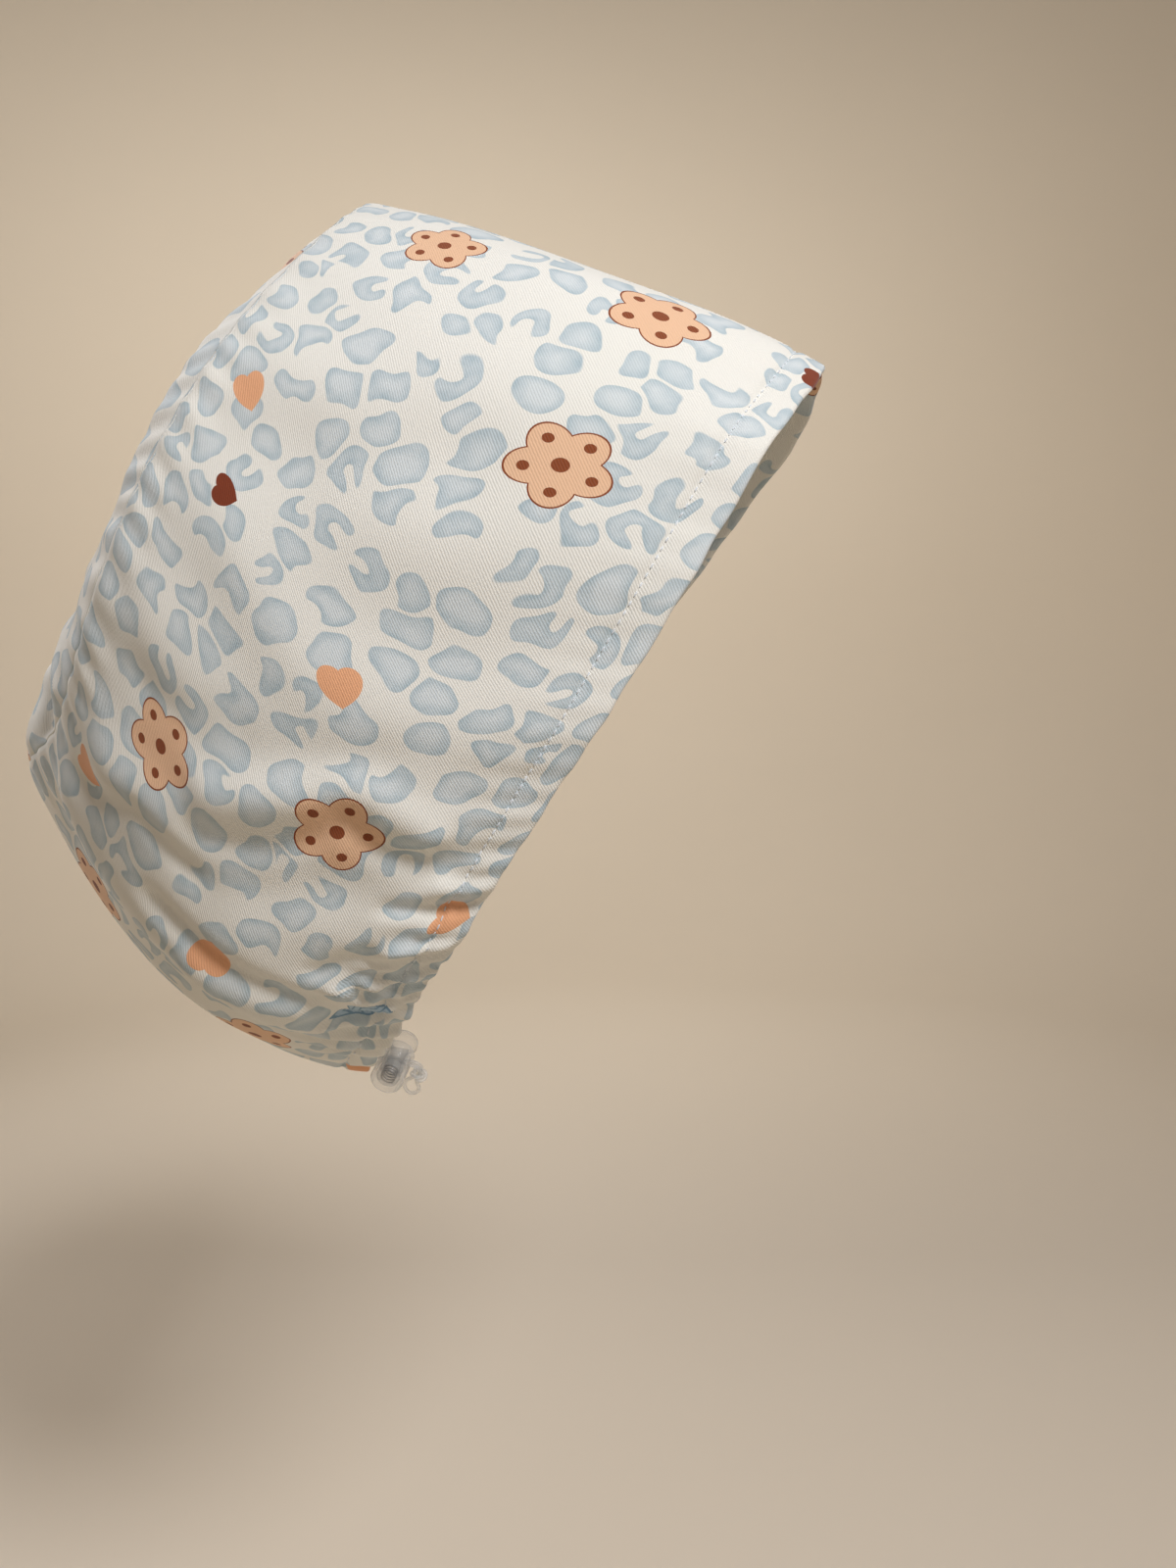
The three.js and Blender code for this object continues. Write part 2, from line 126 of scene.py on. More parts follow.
def along_loop(loop, turn):
    """Points of the smooth closed curve through the loop; turn is 0 at the brow and 0.5 at the nape."""
    place = (np.asarray(turn, float) % 1) * len(loop)
    first = np.floor(place).astype(int)
    share = (place - first)[..., None]
    before, start, end, after = (loop[(first + step) % len(loop)] for step in (-1, 0, 1, 2))
    leaving, arriving = (end - before) / 2, (after - start) / 2
    square = 3 * (end - start) - 2 * leaving - arriving
    cube = 2 * (start - end) + leaving + arriving
    return start + leaving * share + square * share**2 + cube * share**3


hem_loop, full_loop, seam_loop = (loop_through(s) for s in (hem_stations, full_stations, seam_stations))

# The cap sits a little askew: the far side of the brow comes forward, by shares of the length
askew = {-1: 0.03, -2: 0.032, -3: 0.018}
for station, forward in askew.items():
    hem_loop[station, 0] += forward * cap_length


girth_points = 1001


def girth(loop):
    points = along_loop(loop, np.linspace(0, 1, girth_points))
    return float(np.linalg.norm(np.diff(points, axis=0), axis=1).sum())


hem_girth, full_girth, seam_girth = girth(hem_loop), girth(full_loop), girth(seam_loop)
print("girth in mm:", [round(length / MM) for length in (hem_girth, full_girth, seam_girth)])


# %% The band and the crown as smooth surfaces
def unit(vectors):
    return vectors / np.linalg.norm(vectors, axis=-1, keepdims=True)


def band_base(turn, down):
    """The smooth band; down is 0 at the hem's fold and 1 at the crown seam."""
    down = np.asarray(down, float)[..., None]
    return (along_loop(hem_loop, turn) * (2 * down - 1) * (down - 1)
            + along_loop(full_loop, turn) * 4 * down * (1 - down)
            + along_loop(seam_loop, turn) * down * (2 * down - 1))


crown_centre = np.array(crown_middle) * to_metres
seam_top, seam_bottom = (np.array(seam_stations[i]) * to_metres for i in (0, -1))
crown_axis = -unit(np.cross((0, 1, 0), seam_top - seam_bottom))
crown_down = unit(seam_bottom - seam_top)
crown_half_height = float(np.linalg.norm(seam_bottom - seam_top)) / 2
crown_dome, crown_hang, dome_flatness = 8 * MM, 1.1, 2.4


def crown_base(turn, out):
    """The smooth crown, fuller low down; out is 0 at its middle and 1 at its seam."""
    out = np.asarray(out, float)[..., None]
    to_seam = along_loop(seam_loop, turn) - crown_centre
    fullness = 1 + crown_hang * out * (to_seam @ crown_down)[..., None] / crown_half_height
    swell = crown_dome * fullness * (1 - out**dome_flatness)
    swell += (to_seam @ crown_axis)[..., None] * (out * out - out)
    return crown_centre + to_seam * out + crown_axis * swell


# A small step of turn, down or out, for slopes
nudge = 0.002


def slopes(surface, turn, far):
    across = unit(surface(turn + nudge, far) - surface(turn - nudge, far))
    along = unit(surface(turn, far + nudge) - surface(turn, far - nudge))
    return across, along


def band_normal(turn, down):
    across, along = slopes(band_base, turn, down)
    return unit(np.cross(along, across))


def crown_normal(turn, out):
    across, along = slopes(crown_base, turn, np.maximum(out, 2 * nudge))
    return unit(np.cross(across, along))


depth_turns = np.linspace(0, 1, 201)
brow_side_nape = [0, len(depth_turns) // 4, len(depth_turns) // 2]
depth_samples = band_base(*np.meshgrid(depth_turns, np.linspace(0, 1, 41)))
band_depths = np.linalg.norm(np.diff(depth_samples, axis=0), axis=2).sum(axis=0)
side_depth = float(band_depths[brow_side_nape[1]])
print("depth of the band in mm, brow, side and nape:", (band_depths[brow_side_nape] / MM).round())


def band_depth(turn):
    return np.interp(np.asarray(turn, float) % 1, depth_turns, band_depths)


# %% [markdown]
# ## Folds and gathers
# The head stretches the cloth smooth over the top. Below, where the elastic draws it in, the spare cloth
# stands in folds. A cloth simulation would find folds of its own, but not the ones in the photograph, and it
# would have to be run again for each small change. Heights added along the surface's normal put each fold
# where it is seen: a few long soft folds, short gathers at the nape, small puckers where thread pulls the
# cloth in, and a slow unevenness everywhere.

# %% Long folds of the sides
fold_height, fold_width = 4 * MM, 16 * MM

# Each is a line of places (around, down) with its shares of the fold's width and height; around is 0 at the
# brow and 1 at the nape on either side, down is 0 at the hem and 1 at the seam
long_folds = [
    (((0.79, 1), (0.79, 0.3)), 1, 0.9),
    (((0.87, 0.85), (0.86, 0.3)), 0.9, -0.7),
    (((0.7, 0.84), (0.64, 0.5)), 0.6, 0.5),
    (((0.345, 0.72), (0.31, 0.48)), 0.9, -0.6),
    (((0.64, 0.5), (0.64, 0.33)), 0.8, -0.7),
]
# A drape across the side with the hollow under it, then the long fold beside the nape with its bulge
drape_folds = [
    (((0.63, 0.64), (0.592, 0.49), (0.566, 0.41), (0.563, 0.35), (0.58, 0.2)), 0.4, 0.6),
    (((0.665, 0.63), (0.638, 0.5), (0.608, 0.42), (0.585, 0.38), (0.6, 0.3), (0.61, 0.12)), 0.28, -0.5),
    (((0.604, 0.66), (0.564, 0.53), (0.53, 0.37)), 0.4, -0.22),
    (((0.755, 0.64), (0.758, 0.467), (0.762, 0.353), (0.768, 0.243), (0.81, 0.12)), 0.26, -0.7),
    (((0.788, 0.5), (0.802, 0.32), (0.82, 0.2)), 0.3, 0.4),
    (((0.715, 0.45), (0.69, 0.3), (0.69, 0.2)), 0.7, 0.4),
]
# Small creases: two at the crown's corner, then those across the hem
small_folds = [
    (((0.756, 0.89), (0.7, 0.76), (0.7, 0.62)), 0.26, -0.4),
    (((0.604, 0.84), (0.598, 0.74), (0.572, 0.65)), 0.45, -0.3),
    (((0.83, 0.95), (0.83, 0.5)), 0.4, -0.3),
    (((0.73, 0.27), (0.7, 0.2)), 0.2, -0.4),
    (((0.726, 0.213), (0.738, 0.127), (0.782, 0.03)), 0.15, -0.36),
    (((0.74, 0.16), (0.788, 0.03)), 0.14, 0.36),
    (((0.742, 0.19), (0.796, 0.03)), 0.14, -0.36),
    (((0.748, 0.22), (0.808, 0.03)), 0.15, 0.4),
    (((0.766, 0.17), (0.82, 0.03)), 0.14, -0.3),
    (((0.715, 0.2), (0.73, 0.03)), 0.16, -0.35),
    (((0.7, 0.15), (0.696, 0.04)), 0.16, 0.4),
    (((0.678, 0.1), (0.684, 0)), 0.16, 0.35),
    (((0.655, 0.2), (0.655, 0.03)), 0.18, -0.3),
    (((0.63, 0.12), (0.632, 0.03)), 0.18, 0.35),
    (((0.585, 0.14), (0.59, 0.02)), 0.2, -0.2),
    (((0.52, 0.3), (0.53, 0.1)), 0.5, -0.15),
    (((0.46, 0.75), (0.5, 0.58)), 0.6, 0.15),
]


def smoothstep(value, low, high):
    share = np.clip((value - low) / (high - low), 0, 1)
    return share * share * (3 - 2 * share)


def fold_relief(around, down, folds):
    """Height of the folds, each round in section along its line."""
    height = np.zeros_like(around)
    sizes = np.array([full_girth / 2, side_depth])
    place = np.stack([around, down], axis=-1) * sizes
    for line, wide, high in folds:
        corners = np.array(line) * sizes
        away = np.full(around.shape, np.inf)
        for start, end in zip(corners, corners[1:]):
            heading = end - start
            share = np.clip((place - start) @ heading / (heading @ heading), 0, 1)
            away = np.minimum(away, np.linalg.norm(place - start - share[..., None] * heading, axis=-1))
        height += high * fold_height * np.exp(-((away / (wide * fold_width)) ** 2))
    return height


# %% Waves round the loops
rng = np.random.default_rng(11)
swell_count, swell_height = 9, 0.26 * MM
wave_counts, slants, full_turn = (5, 17), (-9, 9), 2 * math.pi
swells = [(rng.integers(*wave_counts), rng.uniform(*slants), rng.uniform(0, full_turn))
          for _ in range(swell_count)]


def uneven(turn, down):
    """Slow unevenness all over, a sum of long slanted waves."""
    return sum(swell_height * np.sin(full_turn * waves * turn + slant * down + phase)
               for waves, slant, phase in swells)


def waves_round(turn, spacing, loop_girth, start=0.0):
    """A wave of about this spacing that meets itself after one turn."""
    count = round(loop_girth / spacing)
    return np.sin(2 * math.pi * count * turn + start)


def wandering(turn, loop_girth, waves):
    """A slow change of phase, so that no spacing repeats; each wave has its strength, spacing and start."""
    return sum(strength * waves_round(turn, spacing, loop_girth, start)
               for strength, spacing, start in waves)


print("slow waves", swell_count, "each", round(swell_height / MM, 2), "mm high")


# %% Gathers at the nape
# Height, spacing and length of the wide pleats and of the fine ones between them
gather_sets = [(1.9 * MM, 10.5 * MM, 30 * MM), (0.6 * MM, 5.3 * MM, 17 * MM)]
gathered_side, gathered_falloff = 66 * MM, 2.6
gather_lean = 0.25
# Strength, length and start of the slow waves in the pleats' places and in their lengths
gather_wander = [(0.6, 17 * MM, 0.8), (0.5, 7.3 * MM, 0)]
gather_reach = [(0.45, 9 * MM, 2)]


def nape_waves(from_nape, waves):
    return sum(strength * np.sin(from_nape / length + start) for strength, length, start in waves)


def gathers(turn, down):
    """Pleats that the drawn elastic pushes up: round backs, sharp valleys, each of its own length."""
    from_nape = (turn % 1 - 0.5) * full_girth
    away = down * side_depth
    near = np.exp(-((np.abs(from_nape) / gathered_side) ** gathered_falloff))
    height = np.zeros_like(away)
    for high, spacing, length in gather_sets:
        phase = 2 * math.pi * from_nape / spacing + gather_lean * away / spacing
        back = 2 * np.abs(np.cos((phase + nape_waves(from_nape, gather_wander)) / 2)) - 1
        reach = length * (1 + nape_waves(from_nape, gather_reach))
        height += high * back * near * np.exp(-((away / reach) ** 2))
    return height


# %% Puckers along the hem and the seam
stitch_height = 10.2 * MM
pucker_height, pucker_spacing, pucker_length = 0.45 * MM, 9 * MM, 13 * MM
stretched_strength, nape_strength = 0.25, 1.6
nape_begins, nape_full = 0.42, 0.85
edge_sway, sway_spacing, sway_reach = 0.22 * MM, 23 * MM, 5 * MM
seam_pucker_height, seam_pucker_spacing = 0.35 * MM, 11 * MM
seam_pucker_place, seam_pucker_width = 4 * MM, 6 * MM
settled_share = 0.12
# Strength, spacing and start of the slow waves in the puckers' places
hem_wander = [(1.1, 145 * MM, 0), (0.7, 70 * MM, 1)]
edge_wander = [(1.4, 160 * MM, 0.5), (0.9, 60 * MM, 2)]
seam_wander = [(1.3, 120 * MM, 0), (0.8, 50 * MM, 2)]


def hem_puckers(turn, down):
    """Small waves across the stitched line, stronger towards the nape where the cloth isn't stretched."""
    around = 1 - np.abs(2 * (turn % 1) - 1)
    wave = waves_round(turn, pucker_spacing, full_girth, wandering(turn, full_girth, hem_wander))
    strength = stretched_strength + nape_strength * smoothstep(around, nape_begins, nape_full)
    away = np.abs(down * side_depth - stitch_height) / pucker_length
    return pucker_height * wave * strength * np.exp(-(away**2))


def edge_sway_at(turn, height):
    """The folded edge isn't quite straight: it draws back a little between the puckers."""
    wave = waves_round(turn, sway_spacing, full_girth, wandering(turn, full_girth, edge_wander))
    return edge_sway * (1 + wave) * math.exp(-height / sway_reach)


def seam_puckers(turn, from_seam):
    wave = waves_round(turn, seam_pucker_spacing, seam_girth, wandering(turn, seam_girth, seam_wander))
    return seam_pucker_height * wave * np.exp(-((from_seam - seam_pucker_place) / seam_pucker_width) ** 2)


def band_relief(turn, down):
    turn, down = np.broadcast_arrays(np.asarray(turn, float), np.asarray(down, float))
    around = 1 - np.abs(2 * (turn % 1) - 1)
    from_seam = (1 - down) * side_depth
    settle = smoothstep(1 - down, 0, settled_share)
    folds = fold_relief(around, down, long_folds + drape_folds + small_folds)
    return (folds * settle + gathers(turn, down) + hem_puckers(turn, down) + seam_puckers(turn, from_seam)
            + uneven(turn, down) * settle)


def band_point(turn, down, inward=0):
    lift = band_relief(turn, down) - inward
    return band_base(turn, down) + band_normal(turn, down) * lift[..., None]


print("relief of the band in mm:", (np.ptp(band_relief(*np.meshgrid(
    np.linspace(0, 1, 400), np.linspace(0, 1, 60)))) / MM).round(1))

# %% [markdown]
# ## The elastic cord
# A cord is a fixed length of something flexible. This one leaves the casing at the nape, runs through the
# lock, is tied off in a knot and comes back beside itself, about 60 mm in all. A curve with a round bevel is
# the natural way to make it, because its length and its thickness are then set apart from each other. The
# points are listed one by one, from the middle of the lock's hole.

# %% Route of the cord
cord_diameter = 1.2 * MM
hem_wall = 2.4 * MM
hole_height = 10.05 * MM
casing_gap = 0.4 * MM
lock_axis = -Vector(joint["axis"]).normalized()


def flat_end(node, axis):
    """The middle of the flat end that a CAD piece turns away from the axis's heading."""
    places = np.array([vertex.co for vertex in nodes[node].data.vertices])
    heights = places @ np.array(axis)
    return Vector(places[heights < heights.min() + 0.01 * MM].mean(axis=0))


def casing_exit(turn):
    """Where a strand comes out of the fold of the hem."""
    turn = np.array([turn])
    along = slopes(band_base, turn, np.array([nudge]))[1]
    return Vector((band_point(turn, np.array([0.0]), hem_wall / 2) - along * casing_gap)[0])


lock_base = flat_end("lock_barrel", lock_axis)
lock_middle = lock_base + lock_axis * hole_height
cord_outward = [
    (-5.98, -0.01, 0.89), (-3.06, -0.34, 0.28), (-0.14, -0.66, -0.33), (2.78, -0.98, -0.94),
    (5.31, -1.26, -1.47), (7.1, -1.1, -2.5), (7.62, -0.4, -3.9), (7.1, 0.35, -5.25), (6.3, 1.14, -6.6),
    (6.5, 1.75, -8.3), (6.9, 2.2, -9.9), (6.2, 2.8, -11.3), (4.5, 3.2, -11.9),
]
cord_return = [
    (2.9, 3.3, -11.1), (2.2, 3.3, -9.5), (2.6, 3.2, -7.9), (4.3, 2.95, -6.8), (6.45, 2.46, -5.95),
    (7.4, 1.6, -4.6), (7.95, 0.9, -3.3), (7.4, 0.3, -1.85), (5.59, 0.06, -0.81), (3.06, 0.34, -0.28),
    (0.14, 0.66, 0.33), (-2.78, 0.98, 0.94), (-5.7, 1.31, 1.55),
]
cord_exit, cord_end = casing_exit(0.492), casing_exit(0.502)
cord_route = [cord_exit, *(lock_middle + Vector(p) * MM for p in cord_outward + cord_return), cord_end]


def round_curve(name, points, diameter, closed=False):
    """A curve object with smooth handles through the points and a round section."""
    curve = bpy.data.curves.new(name, "CURVE")
    curve.dimensions = "3D"
    curve.bevel_depth = diameter / 2
    curve.bevel_resolution = 3
    curve.resolution_u = 6
    curve.use_fill_caps = True
    spline = curve.splines.new("BEZIER")
    spline.bezier_points.add(len(points) - 1)
    spline.use_cyclic_u = closed
    for knot, place in zip(spline.bezier_points, points):
        knot.co = place
        knot.handle_left_type = knot.handle_right_type = "AUTO"
    return add_object(name, curve)


elastic = round_curve("elastic", cord_route, cord_diameter)


# %% [markdown]
# ## Cutting and bending the band
# The real band is cut flat, its front edge is turned in twice and stitched, and its back edge is sewn to
# the crown. The mesh is made the same way round: a flat grid of rows and columns is the cut cloth, each row
# gets a height and a depth in the turned edge, and then every vertex is bent to its place on the head. The
# grid's two ends meet at the nape, where they are merged. Columns are closer together there, because the
# gathers need them. Solidify then gives the cloth its thickness, towards the inside.

# %% Rows of the band, from the hidden raw edge round the hem to the seam allowance
cloth_thickness = 0.5 * MM
band_columns, body_rows = 520, 52
side_column = band_columns // 4
nape_crowding, row_crowding = 0.58, 0.5
ditch_depth, ditch_width = 0.9 * MM, 1.3 * MM
stitch_pinch, pinch_width = 0.75 * MM, 1.2 * MM
allowance = 7 * MM
panel_gap = 0.3 * MM

# Height above the fold and depth inside the outer face, in mm: hidden turning, rolled top, inner face, fold
hem_rows = [(7.5, 1.2), (9.4, 1.2), (11, 1.2), (11.45, 1.4), (11.6, 1.8), (11.45, 2.2), (11, 2.4)]
hem_rows += [(height, 2.4) for height in (10.2, 9.4, 8, 6.5, 5, 3.6, 2.2)]
fold_steps, fold_radius = 7, 1.2
for step in range(fold_steps):
    turn_in = math.pi * step / (fold_steps - 1)
    hem_rows.append((fold_radius * (1 - math.sin(turn_in)), fold_radius * (1 + math.cos(turn_in))))
hem_rows += [(height, 0) for height in (2.2, 3.4, 4.6, 5.8, 7, 8.1, 9, 9.6, 10, 10.2, 10.4, 10.9, 11.6)]
hem_rows = np.array(hem_rows) * MM
seam_rows = np.array([0, 0.25, 0.6, 1]) * allowance


def flat_grid(columns, rows):
    """A bmesh grid whose vertices are found again by row and column."""
    bm = bmesh.new()
    bmesh.ops.create_grid(bm, x_segments=columns, y_segments=rows, size=0.5)
    order = sorted(bm.verts, key=lambda vert: (round(vert.co.y, 6), round(vert.co.x, 6)))
    table = [order[row * (columns + 1):(row + 1) * (columns + 1)] for row in range(rows + 1)]
    return bm, table


def seam_inward(turn):
    """The heading of the seam allowance, halfway between the two panels' inner sides."""
    seam = np.ones_like(turn)
    return -unit(band_normal(turn, seam) + crown_normal(turn, seam - nudge))


def seam_apart(turn):
    """Half of the gap between the two panels, from the band's side to the crown's."""
    seam = np.ones_like(turn)
    band_heading = slopes(band_base, turn, seam)[1]
    crown_heading = slopes(crown_base, turn, seam - nudge)[1]
    return unit(band_heading - crown_heading) * panel_gap / 2


def ditch(from_seam):
    return ditch_depth * np.exp(-from_seam / ditch_width)


columns = np.linspace(0, 1, band_columns + 1)
turns = 0.5 + columns - nape_crowding * np.sin(2 * math.pi * columns) / (2 * math.pi)
depths = band_depth(turns)
places = []
for height, inward in hem_rows:
    pinch = stitch_pinch * math.exp(-((height - stitch_height) / pinch_width) ** 2)
    side = (1 - 2 * inward / hem_wall) * pinch
    places.append(band_point(turns, (height + edge_sway_at(turns, height)) / depths, inward + side))
hem_top = hem_rows[-1][0]
for row in range(1, body_rows + 1):
    share = row / body_rows
    share -= row_crowding * math.sin(2 * math.pi * share) / (2 * math.pi)
    downs = hem_top / depths + (1 - hem_top / depths) * share
    places.append(band_point(turns, downs, ditch((1 - downs) * depths)))
seam_edge = places[-1]
for depth in seam_rows[1:]:
    places.append(seam_edge + seam_inward(turns) * depth)

seam_row = len(hem_rows) + body_rows
near_seam = smoothstep(np.arange(len(places)), seam_row - body_rows / 2, seam_row)
places = np.array(places) - seam_apart(turns)[None] * near_seam[:, None, None]

# The cloth's own height of each row, measured along the side, for the print
side_places = places[len(hem_rows) - 1:seam_row, side_column]
steps = [*np.linalg.norm(np.diff(hem_rows, axis=0), axis=1),
         *np.linalg.norm(np.diff(side_places, axis=0), axis=1), *np.diff(seam_rows)]
cloth_heights = np.cumsum([0, *steps])
print("band rows", places.shape[0], "columns", places.shape[1])


# %% Bending the flat band to its places
def piece_from(bm, name):
    mesh = bpy.data.meshes.new(name)
    bm.to_mesh(mesh)
    bm.free()
    piece = add_object(name, mesh)
    mesh.shade_smooth()
    return piece


def bend_cloth(bm, table, places, cloth_places, weld):
    """Moves each vertex of a flat grid to its place; cloth_places, in metres, become the UV map."""
    uv_layer = bm.loops.layers.uv.new("cloth")
    for row, vertices in enumerate(table):
        for column, vert in enumerate(vertices):
            for loop in vert.link_loops:
                loop[uv_layer].uv = cloth_places[row][column]
            vert.co = places[row][column]
    bmesh.ops.remove_doubles(bm, verts=bm.verts, dist=weld)


def thicken(piece, thickness):
    """A wall towards the inside; its new faces take the piece's second material."""
    wall = piece.modifiers.new("thickness", "SOLIDIFY")
    wall.thickness = thickness
    wall.offset = -1
    wall.material_offset = 1
    wall.material_offset_rim = 0


bm, table = flat_grid(band_columns, len(places) - 1)
round_metres = (turns - 0.5) * full_girth
cloth_places = [[(x, height) for x in round_metres] for height in cloth_heights]
bend_cloth(bm, table, places, cloth_places, weld=0.02 * MM)
bmesh.ops.reverse_faces(bm, faces=bm.faces)
band = piece_from(bm, "band")
thicken(band, cloth_thickness)

# %% [markdown]
# ## The crown panel
# An oval cut, sewn all round. A grid of rings would crowd its vertices into one pole in the middle of the
# back, where a pinch shows in the shading. A square grid squeezed into a disc has no pole: its four corners
# end on the seam, where the edge is hidden. Its rim dips into the same ditch as the band's and follows the
# same seam.

# %% The crown as a square grid squeezed into a disc
crown_cells = 108

# Around and out of each fold's two ends, then its shares of the fold's width and height
crown_folds = [
    (0.815, 0.98, 0.8, 0.55, 0.42, -0.85),
    (0.76, 0.99, 0.74, 0.7, 0.35, 0.4),
    (0.87, 0.98, 0.86, 0.72, 0.35, 0.35),
]
crown_reach = 62 * MM
crown_puff, puff_edge = 5 * MM, 9 * MM
upper_begins, upper_full = -0.3, 0.6
crown_unevenness, crown_swell_share = 1.2, 0.3
crown_settled_share = 0.06


def crown_relief(turn, out):
    """Folds of the crown, and its puff beyond the upper seam."""
    around = 1 - np.abs(2 * (turn % 1) - 1)
    from_seam = (1 - out) * crown_reach
    upward = np.cos(2 * math.pi * turn)
    across = out * np.sin(2 * math.pi * turn)
    height = crown_puff * smoothstep(upward, upper_begins, upper_full) * smoothstep(from_seam, 0, puff_edge)
    height += seam_puckers(turn, from_seam)
    height += crown_unevenness * uneven(crown_swell_share * out * upward, across) * (1 - out**3)
    sizes = np.array([seam_girth / 2, crown_reach])
    for start_around, start_out, end_around, end_out, wide, high in crown_folds:
        line = np.array([end_around - start_around, end_out - start_out]) * sizes
        offset = np.stack([(around - start_around) * out, out - start_out], axis=-1) * sizes
        share = np.clip(offset @ line / (line @ line), 0, 1)
        away = np.linalg.norm(offset - share[..., None] * line, axis=-1) / (wide * fold_width)
        height += high * fold_height * np.exp(-away**2) * smoothstep(1 - out, 0, crown_settled_share)
    return height


def crown_point(turn, out):
    lift = crown_relief(turn, out) - ditch((1 - out) * crown_reach)
    return crown_base(turn, out) + crown_normal(turn, out) * lift[..., None]


span = np.linspace(-1, 1, crown_cells + 1)
square_x, square_y = np.meshgrid(span, span)
disc_x = square_x * np.sqrt(1 - square_y**2 / 2)
disc_y = square_y * np.sqrt(1 - square_x**2 / 2)
smallest_out = 1e-6
crown_out = np.clip(np.hypot(disc_x, disc_y), smallest_out, 1)
crown_turn = np.arctan2(disc_y, disc_x) / (2 * math.pi)
crown_places = crown_point(crown_turn, crown_out)
rim_samples = 1441
rim_turns = np.linspace(0, 1, rim_samples)
rim_offsets = along_loop(seam_loop, rim_turns) - crown_centre
rim_flat = np.stack([rim_offsets[:, 1], rim_offsets @ crown_down], axis=-1)
rim_inward = seam_inward(rim_turns)
print("crown grid", crown_places.shape)


# %% The crown's mesh and its seam allowance
# Where the crown's cut lay on the printed cloth, in metres from the band's
print_shift = np.array([0.037, 0.371])
bm, table = flat_grid(crown_cells, crown_cells)
from_centre = crown_places - crown_centre
crown_cloth = np.stack([from_centre[..., 1], from_centre @ crown_down], axis=-1) + print_shift
bend_cloth(bm, table, crown_places, crown_cloth, weld=0.01 * MM)
bmesh.ops.recalc_face_normals(bm, faces=bm.faces)
middle_face = min(bm.faces, key=lambda face: (face.calc_center_median() - Vector(crown_centre)).length)
if middle_face.normal.dot(Vector(crown_axis)) < 0:
    bmesh.ops.reverse_faces(bm, faces=bm.faces)
rim_edges = [edge for edge in bm.edges if edge.is_boundary]
for depth in np.diff(seam_rows):
    grown = bmesh.ops.extrude_edge_only(bm, edges=rim_edges)["geom"]
    new_verts = [item for item in grown if isinstance(item, bmesh.types.BMVert)]
    for vert in new_verts:
        offset = np.array(vert.co) - crown_centre
        flat = np.array([offset[1], offset @ crown_down])
        nearest = int(np.argmin(np.linalg.norm(rim_flat - flat, axis=1)))
        vert.co += Vector(rim_inward[nearest] * depth)
    rim_edges = [item for item in grown if isinstance(item, bmesh.types.BMEdge) and item.is_boundary]
crown = piece_from(bm, "crown")
thicken(crown, cloth_thickness)
print("crown faces", len(crown.data.polygons))

# %% [markdown]
# ## Stitches of the hem
# A lockstitch machine leaves a row of short threads, each bedded in the small groove that it pulls. At arm's
# length they show as a fine dashed line, which is what tells the eye that the edge is turned and sewn. Each
# is a small stretched ball of few faces, and all of them are one mesh.

# %% A row of stitches
stitch_length, stitch_pitch = 1.8 * MM, 2.5 * MM
thread_width, stitch_sink = 0.5 * MM, 0.66 * MM

bm = bmesh.new()
stitch_count = int(hem_girth / stitch_pitch)
stitch_turns = (np.arange(stitch_count) + 0.5) / stitch_count
stitch_downs = stitch_height / band_depth(stitch_turns)
stitch_places = band_point(stitch_turns, stitch_downs, stitch_sink)
stitch_ahead = band_point(stitch_turns + nudge, stitch_downs, stitch_sink)
stitch_normals = band_normal(stitch_turns, stitch_downs)
for place, ahead, normal in zip(stitch_places, stitch_ahead, stitch_normals):
    along = Vector(ahead - place).normalized()
    up = Vector(normal)
    turn = Matrix((along, up.cross(along), up)).transposed().to_4x4()
    size = Matrix.Diagonal((stitch_length / 2, thread_width / 2, thread_width / 2, 1))
    bmesh.ops.create_uvsphere(bm, u_segments=8, v_segments=6, radius=1,
                              matrix=Matrix.Translation(place) @ turn @ size)
stitches = piece_from(bm, "hem_stitches")
print("stitches", stitch_count)

# %% [markdown]
# ## The cord lock
# It is a small moulded barrel with a button that a spring pushes out. Both are turned shapes, so each is a
# profile spun about its axis. The cord's hole and the button's slot are cut with a Boolean modifier, as a
# drill would. The spring is one round of wire, spun with a lift, which is how a screw thread or a coil is
# drawn.

# %% The lock's own axes
hole_lean = -0.15


def lock_frame():
    """The hole's heading, across, and along the barrel, from the middle of its flat end."""
    heading = Vector((1, 0, hole_lean))
    heading = (heading - lock_axis * heading.dot(lock_axis)).normalized()
    turn = Matrix((heading, lock_axis.cross(heading), lock_axis)).transposed().to_4x4()
    return Matrix.Translation(lock_base) @ turn


lock_place = lock_frame()
print("lock frame", [tuple(round(value, 4) for value in row) for row in lock_place])


# %% Spun and drilled shapes
spin_steps, edge_steps = 48, 5
cutter_length = 20 * MM


def spun(name, profile):
    """A profile of radius and height in mm, spun about Z and put in the lock's place."""
    bm = bmesh.new()
    verts = [bm.verts.new((radius * MM, 0, height * MM)) for radius, height in profile]
    edges = [bm.edges.new(pair) for pair in zip(verts, verts[1:])]
    bmesh.ops.spin(bm, geom=verts + edges, cent=(0, 0, 0), axis=(0, 0, 1), angle=2 * math.pi,
                   steps=spin_steps, use_merge=True)
    bmesh.ops.remove_doubles(bm, verts=bm.verts, dist=0.001 * MM)
    bmesh.ops.recalc_face_normals(bm, faces=bm.faces)
    bmesh.ops.transform(bm, matrix=lock_place, verts=bm.verts)
    return piece_from(bm, name)


